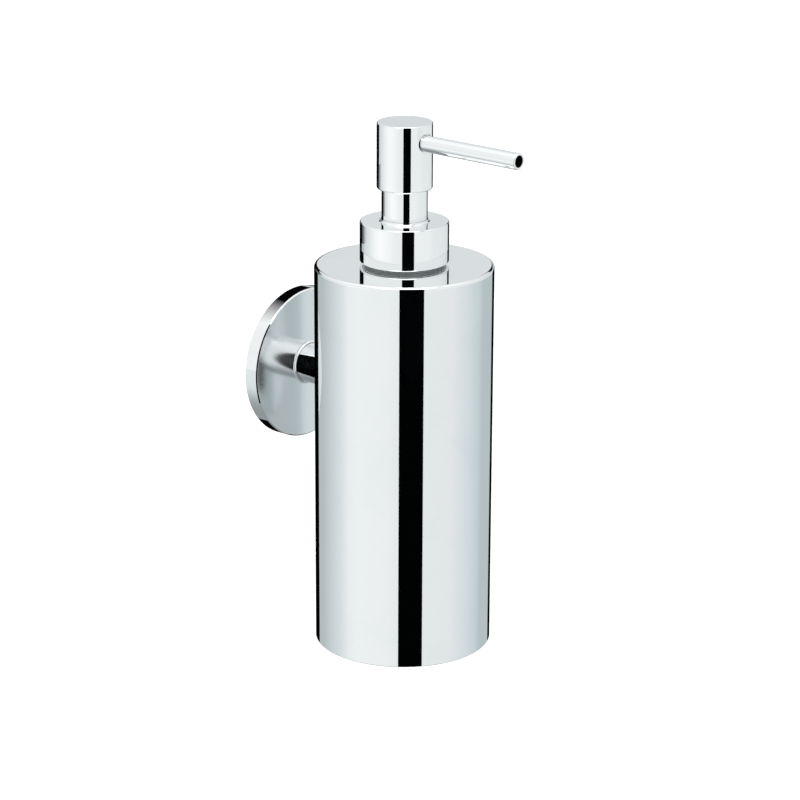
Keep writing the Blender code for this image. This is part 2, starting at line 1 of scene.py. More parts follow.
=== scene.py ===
# %% [markdown]
# # A wall mounted soap dispenser
#
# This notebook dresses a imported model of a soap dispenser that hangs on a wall: a polished cylinder
# on a short arm, with a lotion pump on top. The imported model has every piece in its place, but its
# round pieces are coarse prisms and its colours are flat. A mirror finish forgives nothing, because
# each facet shows as a kink in the reflection, so here the pieces are turned again on the same axes
# with fine steps and exact edges, and each finish is built as nodes.
#
# The frame of the model stays the rule: every size below is read from it, and every new piece rides
# on the body that its packed twin belongs to.

# %% Load the frame
import math

import bmesh
import bpy
from mathutils import Matrix, Vector


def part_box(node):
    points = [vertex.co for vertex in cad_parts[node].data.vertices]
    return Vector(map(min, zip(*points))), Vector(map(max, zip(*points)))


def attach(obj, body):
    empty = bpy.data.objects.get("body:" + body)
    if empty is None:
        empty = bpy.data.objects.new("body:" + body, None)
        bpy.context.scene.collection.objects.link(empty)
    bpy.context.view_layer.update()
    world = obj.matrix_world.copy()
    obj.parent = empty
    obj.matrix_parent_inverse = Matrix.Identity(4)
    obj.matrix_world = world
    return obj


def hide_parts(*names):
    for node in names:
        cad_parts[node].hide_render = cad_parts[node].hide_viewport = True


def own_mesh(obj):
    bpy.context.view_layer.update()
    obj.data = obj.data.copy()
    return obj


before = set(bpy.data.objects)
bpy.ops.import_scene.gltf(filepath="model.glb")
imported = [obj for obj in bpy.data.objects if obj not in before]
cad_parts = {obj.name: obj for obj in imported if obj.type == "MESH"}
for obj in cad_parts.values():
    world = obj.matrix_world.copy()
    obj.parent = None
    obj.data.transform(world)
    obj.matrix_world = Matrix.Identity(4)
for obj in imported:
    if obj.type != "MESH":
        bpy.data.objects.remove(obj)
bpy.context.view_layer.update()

MM = 0.001
CLEAR = 0.1 * MM  # between two pieces that fit into each other

# %% [markdown]
# ## Where things are
#
# A round piece that stands upright on the pump's axis is known by three numbers: its radius and its
# lowest and highest level. One small helper reads them from its box. The levels are in the frame,
# where zero is the level of the arm, and the wall is the plane y = 0.

# %% Read the sizes of the round pieces
def upright(node):
    """The outer radius, the lowest and the highest point of a round upright node."""
    low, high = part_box(node)
    return (high.x - low.x) / 2, low.z, high.z


BODY_R, BASE_Z, TOP_Z = upright("body_shell")
COLLAR_R, COLLAR_Z, COLLAR_TOP_Z = upright("collar_shell")
HEAD_R, HEAD_Z, HEAD_TOP_Z = upright("head_shell")
shell_low, shell_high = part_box("body_shell")
AXIS_OUT = -(shell_low.y + shell_high.y) / 2
spout_low, spout_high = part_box("spout_tube")
SPOUT_R = (spout_high.z - spout_low.z) / 2
SPOUT_Z = (spout_high.z + spout_low.z) / 2
ON_AXIS = Matrix.Translation((0, -AXIS_OUT, 0))
OFF_WALL = Matrix.Rotation(math.pi / 2, 4, "X")
print("cylinder radius and height, mm:", round(BODY_R / MM, 2), round((TOP_Z - BASE_Z) / MM, 2))
print("axis to wall, mm:", round(AXIS_OUT / MM, 2))

# %% [markdown]
# ## The camera
#
# The dispenser is seen from the front left and a little from above, through a long lens from almost
# a metre away, so upright edges stay nearly parallel. A camera can be placed by hand, or from an
# azimuth, an elevation and a distance to the point that it looks at. The second way keeps its
# meaning when the model moves, so a short function does that.
#
# A camera, a lamp and a mesh are all put into the scene in the same way, so that is the first helper.

# %% Place the camera
VIEW_AZIMUTH = math.radians(49.62)
VIEW_ELEVATION = math.radians(18.09)
VIEW_DISTANCE = 887.6 * MM
VIEW_ROLL = math.radians(0.23)
AIM = Vector((-0.7 * MM, -AXIS_OUT + 0.9 * MM, -4.2 * MM))
SENSOR_WIDTH, FOCAL_LENGTH = 36, 129.2  # these two are in millimetres, as a lens is sold


def new_object(name, data):
    """A mesh, a lamp or a camera, put into the scene."""
    made = bpy.data.objects.new(name, data)
    bpy.context.scene.collection.objects.link(made)
    return made


def place_camera():
    back = Vector((
        -math.sin(VIEW_AZIMUTH) * math.cos(VIEW_ELEVATION),
        -math.cos(VIEW_AZIMUTH) * math.cos(VIEW_ELEVATION),
        math.sin(VIEW_ELEVATION),
    ))
    data = bpy.data.cameras.new("camera")
    data.sensor_width = SENSOR_WIDTH
    data.lens = FOCAL_LENGTH
    data.clip_start = 0.01
    data.clip_end = 50
    camera = new_object("camera", data)
    roll = Matrix.Rotation(VIEW_ROLL, 3, "Z")
    turn = (-back).to_track_quat("-Z", "Y").to_matrix() @ roll
    camera.matrix_world = Matrix.Translation(AIM + back * VIEW_DISTANCE) @ turn.to_4x4()
    bpy.context.scene.camera = camera
    return camera


camera = place_camera()
print("camera at, mm:", [round(c / MM) for c in camera.location])

# %% [markdown]
# ## Node trees in a few words
#
# Every material, light and geometry tree below is a list of nodes and links. A few helpers keep that
# list short. `add` makes a node and sets its inputs and properties by name: an input given a value is
# set, and an input given another node's output is linked to it. The others give back the one output
# that is wanted: a sum, a step, a mix of two colours, a place on the piece.

# %% Helpers for node trees
def add(tree, kind, inputs=None, **properties):
    """A new node. Inputs are given by name or number: a value is set, a socket is linked."""
    node = tree.nodes.new(kind)
    for name, value in properties.items():
        setattr(node, name, value)
    for name, value in (inputs or {}).items():
        if isinstance(value, bpy.types.NodeSocket):
            tree.links.new(value, node.inputs[name])
        else:
            node.inputs[name].default_value = value
    return node


def maths(tree, operation, a, b=0.0, clamp=False):
    return add(tree, "ShaderNodeMath", {0: a, 1: b}, operation=operation, use_clamp=clamp).outputs[0]


def step(tree, value, start, end, kind="LINEAR"):
    """It goes from 0 to 1 while the value goes from the start to the end."""
    reach = {0: value, 1: start, 2: end}
    return add(tree, "ShaderNodeMapRange", reach, interpolation_type=kind).outputs[0]


def mixed(tree, factor, first, second):
    """From the first colour to the second as the factor goes from 0 to 1."""
    return add(tree, "ShaderNodeMix", {0: factor, 6: first, 7: second}, data_type="RGBA").outputs[2]


def object_place(tree):
    """Where a point is on the piece, in metres."""
    return add(tree, "ShaderNodeTexCoord").outputs["Object"]


def part_of(tree, vector, axis):
    return add(tree, "ShaderNodeSeparateXYZ", {0: vector}).outputs[axis]


def new_group(kind, name, inputs, outputs):
    """A node group with named sockets, its input node and its output node."""
    tree = bpy.data.node_groups.new(name, kind)
    for label, socket, value in inputs:
        made = tree.interface.new_socket(label, in_out="INPUT", socket_type=socket)
        if value is not None:
            made.default_value = value
    for label, socket in outputs:
        tree.interface.new_socket(label, in_out="OUTPUT", socket_type=socket)
    return tree, tree.nodes.new("NodeGroupInput"), tree.nodes.new("NodeGroupOutput")


def ramp(tree, factor, stops):
    """A colour ramp. Each stop is a place from 0 to 1 and a colour, and the first place is 0."""
    node = add(tree, "ShaderNodeValToRGB", {0: factor})
    elements = node.color_ramp.elements
    elements.remove(elements[1])
    elements[0].color = (*stops[0][1], 1)
    for place, colour in stops[1:]:
        elements.new(place).color = (*colour, 1)
    return node.outputs["Color"]


# %% [markdown]
# ## The light
#
# Polished chrome has no colour of its own: what it shows is the room. A studio that shoots it puts
# the piece in a white tent, dark behind the camera's opening, with black cards that draw crisp dark
# lines down the sides and make the shape readable. Lamps alone would give a black object with
# small white spots.
#
# The tent is the world here. Its brightness is a ramp over the compass, brightest at the sides in
# front and duller towards the back, and a second ramp over height makes the ceiling bright and the
# ground dull. What the camera sees directly stays plain white.

# %% The tent
LOOK = Vector((math.sin(VIEW_AZIMUTH), math.cos(VIEW_AZIMUTH), 0))  # from the camera to the piece, level
TO_RIGHT = Vector((LOOK.y, -LOOK.x, 0))
COMPASS_STOPS = [  # degrees from the camera's side, to its left (-) and right (+), and the brightness
    (-180, (0.50, 0.54, 0.55)),
    (-130, (0.49, 0.55, 0.56)),
    (-114, (0.58, 0.64, 0.65)),
    (-90, (0.74, 0.79, 0.80)),
    (-76, (0.89, 0.92, 0.92)),
    (-60, (0.93, 0.95, 0.945)),
    (-20, (0.91, 0.93, 0.925)),
    (-6, (0.87, 0.89, 0.885)),
    (30, (0.85, 0.87, 0.87)),
    (62, (0.84, 0.86, 0.87)),
    (90, (0.72, 0.77, 0.79)),
    (112, (0.60, 0.67, 0.69)),
    (122, (0.50, 0.57, 0.59)),
    (180, (0.50, 0.54, 0.55)),
]
CEILING_STOPS = [  # the same for everything above the level of the eye
    (-180, (0.755, 0.78, 0.79)),
    (-150, (0.755, 0.78, 0.79)),
    (-115, (0.95, 0.96, 0.96)),
    (110, (0.90, 0.91, 0.915)),
    (150, (0.755, 0.78, 0.79)),
    (180, (0.755, 0.78, 0.79)),
]
ZENITH = (1.12, 1.12, 1.12, 1)
GROUND = (0.30, 0.32, 0.33, 1)
WHITE = (1, 1, 1, 1)


def compass(tree, towards):
    """How far a direction is turned from the camera's side, from 0 to 1 over the whole circle."""
    ahead, aside = (
        add(tree, "ShaderNodeVectorMath", {0: towards, 1: side}, operation="DOT_PRODUCT").outputs["Value"]
        for side in (-LOOK, TO_RIGHT)
    )
    turn = maths(tree, "MULTIPLY_ADD", maths(tree, "ARCTAN2", aside, ahead), 0.5 / math.pi)
    turn.node.inputs[2].default_value = 0.5
    return turn


def round_ramp(tree, turn, stops):
    """A ramp over the compass, from stops in degrees."""
    return ramp(tree, turn, [((degrees + 180) / 360, colour) for degrees, colour in stops])


def make_tent():
    world = bpy.data.worlds.new("light_tent")
    world.use_nodes = True
    tree = world.node_tree
    tree.nodes.clear()
    towards = add(tree, "ShaderNodeTexCoord").outputs["Generated"]
    turn = compass(tree, towards)
    shown = round_ramp(tree, turn, COMPASS_STOPS)
    height = part_of(tree, towards, "Z")
    for start, end, colour in (
        (0.0, 0.30, round_ramp(tree, turn, CEILING_STOPS)),
        (0.55, 0.90, ZENITH),
        (-0.45, -0.80, GROUND),
    ):
        shown = mixed(tree, step(tree, height, start, end, "SMOOTHSTEP"), shown, colour)
    seen = add(tree, "ShaderNodeLightPath").outputs["Is Camera Ray"]
    shown = mixed(tree, seen, shown, WHITE)
    background = add(tree, "ShaderNodeBackground", {"Color": shown, "Strength": 1.0})
    add(tree, "ShaderNodeOutputWorld", {"Surface": background.outputs[0]})
    bpy.context.scene.world = world


make_tent()
bpy.context.scene.view_settings.view_transform = "Standard"
print("tent with", len(COMPASS_STOPS), "wall stops")

# %% [markdown]
# Black cards give the drawing its lines. A tall one stands beside the camera and becomes the dark
# stripe down the middle of every upright tube. Behind the piece stand four that become the dark
# line along the silhouettes: a wide low one for the cylinder, a wider ledge on it for the head and
# the collar, and a pair higher up, which those two see by way of the flat tops. The tops themselves
# look out between them and stay light. A small card behind the wall's plane darkens the top of the
# rosette's rim, and a narrow one hangs between the rosette and the cylinder, so that the cylinder's
# dark line doesn't break there.
#
# The cards are real planes, so near and far pieces see them differently, but only reflections see
# them: they throw no shadow and never stand in front of the camera, from any side. Mirrors that face
# each other would repeat a card many times, so each one has a number of reflections after which it
# is let through.

# %% The black cards and the floor
PUMP_FOOT = Vector((0, -AXIS_OUT, 0))
FLOOR_R, FLOOR_DROP = 9.0, 0.25  # metres, the second one below the cylinder


def flat_finish(name, colour, glow=0.0):
    material = bpy.data.materials.new(name)
    material.use_nodes = True
    shader = material.node_tree.nodes["Principled BSDF"]
    shader.inputs["Base Color"].default_value = (*colour, 1)
    shader.inputs["Roughness"].default_value = 1.0
    shader.inputs["Specular IOR Level"].default_value = 0.0
    shader.inputs["Emission Color"].default_value = (1, 1, 1, 1)
    shader.inputs["Emission Strength"].default_value = glow
    return material


FELT = (0.0008, 0.0012, 0.0014)
FIRST, SECOND = 1.5, 2.5  # between the first and the second reflection, and after the second


def show(tree, how_much):
    """Lets the rays through where it is 0, and stops them where it is 1."""
    tree.links.new(how_much, tree.nodes["Principled BSDF"].inputs["Alpha"])


def make_felt(name, deepest):
    """Black felt that is let through after so many reflections. Also its tree and its alpha."""
    material = flat_finish(name, FELT)
    tree = material.node_tree
    seen = maths(tree, "LESS_THAN", add(tree, "ShaderNodeLightPath").outputs["Ray Depth"], deepest)
    show(tree, seen)
    return material, tree, seen


def make_feathered_felt():
    """It fades out to the left, as a card out of focus does."""
    material, tree, seen = make_felt("feathered_felt", FIRST)
    solid = step(tree, part_of(tree, object_place(tree), "X"), -32 * MM, 2 * MM)
    show(tree, maths(tree, "MULTIPLY", solid, seen))
    return material


def make_one_way_felt():
    """It is black from the cylinder's side only, so the rosette's face looks through it."""
    material, tree, seen = make_felt("one_way_felt", FIRST)
    behind = add(tree, "ShaderNodeNewGeometry").outputs["Backfacing"]
    show(tree, maths(tree, "MULTIPLY", behind, seen))
    return material


def only_for_reflections(name, mesh):
    """A card in the scene that nothing but a reflection sees."""
    made = new_object(name, mesh)
    made.visible_camera = False
    made.visible_diffuse = False
    made.visible_transmission = False
    made.visible_shadow = False


def card(name, finish, turn, far, outline):
    """A card that stands `far` in front of the axis, turned to the right of the camera's place. Its
    outline is a list of (aside, up) in metres."""
    away = -LOOK * math.cos(turn) + TO_RIGHT * math.sin(turn)
    aside = Vector((away.y, -away.x, 0))
    mesh = bpy.data.meshes.new(name)
    points = [PUMP_FOOT + away * far - aside * side + Vector((0, 0, up)) for side, up in outline]
    mesh.from_pydata(points, [], [list(range(len(points)))])
    mesh.materials.append(finish)
    only_for_reflections(name, mesh)


FRONT_LEFT, FRONT_RIGHT = math.radians(-6.0), math.radians(25.0)
FRONT_FAR, BACK_FAR = 1.1, -0.32  # from the axis towards the camera, in metres


def oblong(left, right, low, high):
    return [(left, low), (right, low), (right, high), (left, high)]


def make_front_card():
    """A tall strip beside the camera, from below the piece to far above it."""
    half = FRONT_FAR * math.tan((FRONT_RIGHT - FRONT_LEFT) / 2)
    middle = (FRONT_LEFT + FRONT_RIGHT) / 2
    card("front_card", black_felt, middle, FRONT_FAR, oblong(-half, half, -1.2, 2.2))


def make_back_cards():
    first_felt = make_felt("first_felt", FIRST)[0]
    for name, felt, outline in (
        ("back_card", first_felt, oblong(-0.262, 0.195, -0.80, -0.045)),
        ("ledge_card", first_felt, oblong(-0.400, 0.225, -0.045, 0.015)),
        ("left_card", black_felt, oblong(-0.400, -0.055, 0.105, 0.185)),
        ("right_card", black_felt, oblong(0.055, 0.225, 0.105, 0.185)),
    ):
        card(name, felt, 0, BACK_FAR, outline)


def make_wall_cards():
    """The two that are square to the wall: their outlines are measured from the pump's axis."""
    to_wall = VIEW_AZIMUTH - math.pi
    small = oblong(-0.052, 0.034, 0.030, 0.0555)
    narrow = oblong(0.0125, 0.0210, -0.083, 0.0365)
    card("small_card", make_feathered_felt(), to_wall, AXIS_OUT + 25 * MM, small)
    card("narrow_card", make_one_way_felt(), to_wall, AXIS_OUT - 20 * MM, narrow)


def write_out(name, shape):
    """A mesh from a bmesh, which is used up."""
    mesh = bpy.data.meshes.new(name)
    shape.to_mesh(mesh)
    shape.free()
    return mesh


def make_floor():
    shape = bmesh.new()
    bmesh.ops.create_circle(shape, cap_ends=True, segments=64, radius=FLOOR_R)
    mesh = write_out("floor", shape)
    mesh.transform(Matrix.Translation((0, 0, BASE_Z - FLOOR_DROP)))
    mesh.materials.append(flat_finish("pale_floor", (0.93, 0.93, 0.93), glow=0.25))
    floor = new_object("floor", mesh)
    floor.visible_glossy = False


black_felt = make_felt("black_felt", SECOND)[0]
make_front_card()
make_back_cards()
make_wall_cards()
make_floor()

# %% [markdown]
# The pump stands higher than the cylinder, so it looks out over a nearer part of the studio, which
# is brighter. A low ring of white silk round the piece gives that: its lower edge is just above
# what the cylinder's side can see, it thins out upwards, and it is open where the black cards have
# to show.

# %% The white silk
SILK_R = 0.30
SILK_LOW, SILK_HIGH = -35.3 * MM, 90 * MM
SILK_THICK, SILK_GONE = 20 * MM, 85 * MM  # it thins out from the first height to the second
SILK_STOPS = [  # degrees and brightness, as for the tent
    (-138, (0.60, 0.63, 0.63)),
    (-120, (0.70, 0.73, 0.74)),
    (-99, (0.84, 0.86, 0.865)),
    (-81, (0.98, 0.985, 0.985)),
    (-66, (1.05, 1.05, 1.05)),
    (-51, (1.03, 1.03, 1.03)),
    (-38, (0.98, 0.985, 0.985)),
    (-25, (0.92, 0.93, 0.93)),
    (-8, (0.89, 0.905, 0.905)),
    (27, (0.91, 0.93, 0.935)),
    (60, (0.91, 0.93, 0.935)),
    (80, (0.865, 0.885, 0.89)),
    (110, (0.845, 0.87, 0.875)),
    (135, (0.79, 0.82, 0.83)),
]


def make_silk_finish():
    """It glows by itself, with the brightness of the studio behind it."""
    material, tree, seen = make_felt("white_silk", FIRST)
    place = object_place(tree)
    from_axis = add(tree, "ShaderNodeVectorMath", {0: place, 1: PUMP_FOOT}, operation="SUBTRACT").outputs[0]
    thick = step(tree, part_of(tree, place, "Z"), SILK_GONE, SILK_THICK, "SMOOTHSTEP")
    show(tree, maths(tree, "MULTIPLY", thick, seen))
    shader = tree.nodes["Principled BSDF"]
    tree.links.new(round_ramp(tree, compass(tree, from_axis), SILK_STOPS), shader.inputs["Emission Color"])
    shader.inputs["Emission Strength"].default_value = 1.0
    return material


def make_silk(name, finish, start, end):
    """Part of the ring, from one turn to another in degrees."""
    count = round((end - start) / 2)
    corners = []
    for i in range(count + 1):
        turn = math.radians(start + (end - start) * i / count)
        out = (-LOOK * math.cos(turn) + TO_RIGHT * math.sin(turn)) * SILK_R
        corners += [PUMP_FOOT + out + Vector((0, 0, z)) for z in (SILK_LOW, SILK_HIGH)]
    mesh = bpy.data.meshes.new(name)
    mesh.from_pydata(corners, [], [(2 * i, 2 * i + 2, 2 * i + 3, 2 * i + 1) for i in range(count)])
    mesh.materials.append(finish)
    only_for_reflections(name, mesh)


white_silk = make_silk_finish()
make_silk("left_silk", white_silk, -127, -8)
make_silk("right_silk", white_silk, 27, 143)

# %% [markdown]
# One large soft lamp hangs over the piece. It puts a bright line on each rounded edge that looks
# up, which the tent alone would leave dull.

# %% The overhead lamp
LAMP_SIDE, LAMP_POWER = 0.9, 3.2  # metres and watts
LAMP_NEARER, LAMP_UP = 0.35, 0.95  # metres from the pump's foot, towards the camera and upwards


def make_overhead_lamp():
    data = bpy.data.lights.new("overhead_softbox", "AREA")
    data.shape = "SQUARE"
    data.size = LAMP_SIDE
    data.energy = LAMP_POWER
    lamp = new_object("overhead_softbox", data)
    lamp.location = PUMP_FOOT - LOOK * LAMP_NEARER + Vector((0, 0, LAMP_UP))
    lamp.rotation_mode = "QUATERNION"
    lamp.rotation_quaternion = (lamp.location - PUMP_FOOT).to_track_quat("Z", "Y")
    print("lamp at, mm:", [round(c / MM) for c in lamp.location])


make_overhead_lamp()

# %% [markdown]
# ## Turning on a lathe
#
# Almost every piece of this object came off a lathe or out of a round mould. Blender can turn a
# profile with the Screw modifier, with bmesh spin, or with Geometry Nodes: sweep the profile along
# a circle. The last is used here, because the same small tree then serves every piece, and its
# step count is a named input.
#
# The profile is a line of corners. Real edges are never knife sharp, so a corner may carry a
# fillet, which becomes an arc that touches both sides. Beside each arc one more point is kept a
# hair away, so that the flat next to it stays truly flat in the reflection.

# %% The profile with rounded corners
HOLD = 0.04 * MM  # how far the holding point lies from the end of its arc


def profile(corners, arc_steps=8):
    """Points (radius, height) of an outline, from corners (radius, height, fillet)."""
    points = []
    for i, (r, z, fillet) in enumerate(corners):
        here = Vector((r, z))
        if fillet == 0:
            points.append(here)
            continue
        before = (Vector(corners[i - 1][:2]) - here).normalized()
        after = (Vector(corners[(i + 1) % len(corners)][:2]) - here).normalized()
        half = before.angle(after) / 2
        back = fillet / math.tan(half)
        centre = here + (before + after).normalized() * fillet / math.sin(half)
        start = here + before * back - centre
        sweep = start.angle_signed(here + after * back - centre)
        points.append(here + before * (back + HOLD))
        for k in range(arc_steps + 1):
            points.append(centre + Matrix.Rotation(-sweep * k / arc_steps, 2) @ start)
        points.append(here + after * (back + HOLD))
    return points


# %% The lathe tree
PIVOT = 10 * MM  # the circle's own radius: the sweep adds the profile's to it, so it is taken off first
WELD = 0.002 * MM  # points nearer than this become one, such as those on the axis
CREASE = math.radians(28)  # faces that meet at more than this keep a sharp edge


def hand_out(tree, geometry, given, result):
    """The end of a tree: real meshes, in the finish that was given."""
    real = add(tree, "GeometryNodeRealizeInstances", {0: geometry}).outputs[0]
    finish = {0: real, "Material": given.outputs["Finish"]}
    tree.links.new(add(tree, "GeometryNodeSetMaterial", finish).outputs[0], result.inputs[0])


def make_lathe():
    tree, given, result = new_group(
        "GeometryNodeTree",
        "lathe",
        [
            ("Profile", "NodeSocketGeometry", None),
            ("Steps", "NodeSocketInt", 96),
            ("Finish", "NodeSocketMaterial", None),
        ],
        [("Geometry", "NodeSocketGeometry")],
    )
    line = add(tree, "GeometryNodeMeshToCurve", {0: given.outputs["Profile"]}).outputs[0]
    shift = {0: line, "Translation": (-PIVOT, 0, 0), "Rotation": (math.pi / 2, 0, 0)}
    section = add(tree, "GeometryNodeTransform", shift).outputs[0]
    circle = {"Resolution": given.outputs["Steps"], "Radius": PIVOT}
    path = add(tree, "GeometryNodeCurvePrimitiveCircle", circle).outputs[0]
    swept = add(tree, "GeometryNodeCurveToMesh", {0: path, "Profile Curve": section}).outputs[0]
    closed = add(tree, "GeometryNodeMergeByDistance", {0: swept, "Distance": WELD}).outputs[0]
    hand_out(tree, closed, given, result)
    return tree


lathe = make_lathe()
print("lathe inputs:", [item.name for item in lathe.interface.items_tree if item.in_out == "INPUT"])


def run_tree(tree, source, values):
    """What a geometry tree makes of an object, as a plain mesh. The object is used up."""
    modifier = source.modifiers.new(tree.name, "NODES")
    modifier.node_group = tree
    for item in tree.interface.items_tree:
        if item.in_out == "INPUT" and item.name in values:
            modifier[item.identifier] = values[item.name]
    bpy.context.scene.collection.objects.link(source)
    ready = source.evaluated_get(bpy.context.evaluated_depsgraph_get())
    mesh = bpy.data.meshes.new_from_object(ready)
    bpy.data.objects.remove(source)
    return mesh


def face_out(mesh):
    """Turns every face outwards."""
    shape = bmesh.new()
    shape.from_mesh(mesh)
    bmesh.ops.recalc_face_normals(shape, faces=shape.faces)
    shape.to_mesh(mesh)
    shape.free()


def smooth(mesh):
    """Smooth faces, with creases where the shape has real edges."""
    mesh.shade_smooth()
    mesh.set_sharp_from_angle(angle=CREASE)


def turned(name, corners, finish, place=ON_AXIS, steps=96, ring=True, arc_steps=8):
    """A turned piece. A ring's outline closes on itself, any other starts and ends on the axis."""
    points = profile(corners, arc_steps)
    edges = [(i, i + 1) for i in range(len(points) - 1)]
    if ring:
        edges.append((len(points) - 1, 0))
    mesh = bpy.data.meshes.new(name)
    mesh.from_pydata([(p.x, 0, p.y) for p in points], edges, [])
    mesh = run_tree(lathe, bpy.data.objects.new(name, mesh), {"Steps": steps, "Finish": finish})
    face_out(mesh)
    mesh.transform(place)
    smooth(mesh)
    return new_object(name, mesh)


def finish_piece(piece, body, node):
    """Hands a piece over to the frame: what it rides on, and the node it stands for, which it hides."""
    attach(piece, body)
    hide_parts(node)
    print(f"{piece.name}: {len(piece.data.polygons)} faces on {body}")


# %% [markdown]
# Holes, sockets and flats are cut with plain bars and boxes. Most bars lie on one of two lines, an
# upright one or one that points away from the wall. The cutter is made, used and thrown away, and
# the result is again one plain mesh.

# %% Cutting
def bar(radius, start, end, sides=96):
    """A round or many-sided bar between two points, to cut with."""
    start, end = Vector(start), Vector(end)
    shape = bmesh.new()
    size = {"radius1": radius, "radius2": radius, "depth": (end - start).length}
    bmesh.ops.create_cone(shape, cap_ends=True, segments=sides, **size)
    mesh = write_out("bar", shape)
    turn = (end - start).to_track_quat("Z", "Y").to_matrix().to_4x4()
    mesh.transform(Matrix.Translation((start + end) / 2) @ turn)
    return new_object("bar", mesh)


def upright_bar(radius, out, low, high, sides=96):
    """A standing bar, at this distance from the wall."""
    return bar(radius, (0, -out, low), (0, -out, high), sides)


def level_bar(radius, height, start, end, sides=96):
    """A bar that points away from the wall, between two distances from it."""
    return bar(radius, (0, -start, height), (0, -end, height), sides)


def hexagon_r(key):
    """The radius over the corners of a socket for this size of key."""
    return key / math.sqrt(3)


def box_between(low, high):
    """A block between two opposite corners."""
    low, high = Vector(low), Vector(high)
    shape = bmesh.new()
    bmesh.ops.create_cube(shape, size=1)
    mesh = write_out("box", shape)
    mesh.transform(Matrix.Translation((low + high) / 2) @ Matrix.Diagonal((*(high - low), 1)))
    return new_object("box", mesh)


def carve(piece, *cutters, operation="DIFFERENCE"):
    """Takes the cutters out of a piece, or keeps only what they share with it."""
    for cutter in cutters:
        boolean = piece.modifiers.new("cut", "BOOLEAN")
        boolean.operation = operation
        boolean.object = cutter
    ready = piece.evaluated_get(bpy.context.evaluated_depsgraph_get())
    mesh = bpy.data.meshes.new_from_object(ready)
    piece.modifiers.clear()
    piece.data = mesh
    for cutter in cutters:
        bpy.data.objects.remove(cutter)
    smooth(mesh)


# %% [markdown]
# ## Finishes
#
# The effects that several finishes share are node groups, each built once: hairlines left by wiping,
# a faint haze, and the fine grain of a moulded or cast surface. A group gives out a mask and a
# height, and each material decides how strongly it uses them. All of them read Object coordinates,
# so a pattern is fixed to its piece and travels with it.

# %% Shared effects
def make_hairlines():
    """Long fine scratches in two crossing directions."""
    tree, given, result = new_group(
        "ShaderNodeTree",
        "hairlines",
        [("Spacing", "NodeSocketFloat", 900.0), ("Share", "NodeSocketFloat", 0.5)],
        [("Mask", "NodeSocketFloat"), ("Height", "NodeSocketFloat")],
    )
    here = object_place(tree)
    layers = []
    for tilt, stretch in ((0.12, 0.04), (1.35, 0.06)):  # radians, and width against length
        turn = {0: here, "Rotation": (tilt, 0.4 * tilt, tilt), "Scale": (1.0, 1.0, stretch)}
        place = add(tree, "ShaderNodeMapping", turn).outputs[0]
        fine = {0: place, "Scale": given.outputs["Spacing"], "Detail": 2.0}
        layers.append(step(tree, add(tree, "ShaderNodeTexNoise", fine).outputs[0], 0.66, 0.74))
    both = maths(tree, "MAXIMUM", *layers)
    mask = maths(tree, "MULTIPLY", both, given.outputs["Share"], clamp=True)
    tree.links.new(mask, result.inputs["Mask"])
    tree.links.new(maths(tree, "SUBTRACT", 1.0, mask), result.inputs["Height"])
    return tree


def make_haze():
    """Soft patches where a cloth or a finger has passed."""
    tree, given, result = new_group(
        "ShaderNodeTree",
        "haze",
        [("Scale", "NodeSocketFloat", 40.0), ("Amount", "NodeSocketFloat", 1.0)],
        [("Mask", "NodeSocketFloat")],
    )
    broad = {0: object_place(tree), "Scale": given.outputs["Scale"], "Detail": 4.0}
    broad.update({"Roughness": 0.55, "Distortion": 0.6})
    noise = add(tree, "ShaderNodeTexNoise", broad).outputs[0]
    soft = step(tree, noise, 0.42, 0.72, "SMOOTHSTEP")
    tree.links.new(maths(tree, "MULTIPLY", soft, given.outputs["Amount"]), result.inputs["Mask"])
    return tree


def make_grain():
    """Fine even bumps, as a mould or a casting leaves them."""
    tree, given, result = new_group(
        "ShaderNodeTree",
        "grain",
        [("Scale", "NodeSocketFloat", 2500.0), ("Coarseness", "NodeSocketFloat", 0.5)],
        [("Mask", "NodeSocketFloat"), ("Height", "NodeSocketFloat")],
    )
    fine = {0: object_place(tree), "Scale": given.outputs["Scale"], "Detail": 3.0}
    fine["Roughness"] = given.outputs["Coarseness"]
    noise = add(tree, "ShaderNodeTexNoise", fine).outputs[0]
    tree.links.new(step(tree, noise, 0.35, 0.65), result.inputs["Mask"])
    tree.links.new(noise, result.inputs["Height"])
    return tree


HAIRLINES = make_hairlines()
HAZE = make_haze()
GRAIN = make_grain()
print("shared effects:", [group.name for group in (HAIRLINES, HAZE, GRAIN)])

# %% [markdown]
# A material starts from the Principled shader with its plain numbers. `varied` mixes two colours or
# two values by a mask, and `bumped` turns a height into a normal. Depths are real: a hairline on
# chrome is a few hundred nanometres deep, so it only shows as a change in gloss.

# %% Helpers for materials
def principled(name, colour, roughness, metallic=0.0, **more):
    """A material, its tree and its shader. More sockets are given with _ for a space."""
    material = bpy.data.materials.new(name)
    material.use_nodes = True
    shader = material.node_tree.nodes["Principled BSDF"]
    plain = {"Base Color": (*colour, 1), "Roughness": roughness, "Metallic": metallic}
    plain.update({label.replace("_", " "): value for label, value in more.items()})
    for label, value in plain.items():
        shader.inputs[label].default_value = value
    return material, material.node_tree, shader


def use_group(tree, group, **inputs):
    """The outputs of a shared effect, placed in a material with its own values."""
    node = add(tree, "ShaderNodeGroup", node_tree=group)
    for label, value in inputs.items():
        node.inputs[label].default_value = value
    return node.outputs


def varied(tree, mask, low, high):
    """From one colour or value to another, as the mask goes from 0 to 1."""
    if isinstance(low, tuple):
        return mixed(tree, mask, (*low, 1), (*high, 1))
    return add(tree, "ShaderNodeMapRange", {0: mask, 3: low, 4: high}).outputs[0]


def bumped(tree, shader, height, depth, strength=1.0):
    """Gives the shader a normal from a height, whose full range is so many metres."""
    bump = add(tree, "ShaderNodeBump", {"Height": height, "Distance": depth, "Strength": strength})
    tree.links.new(bump.outputs[0], shader.inputs["Normal"])


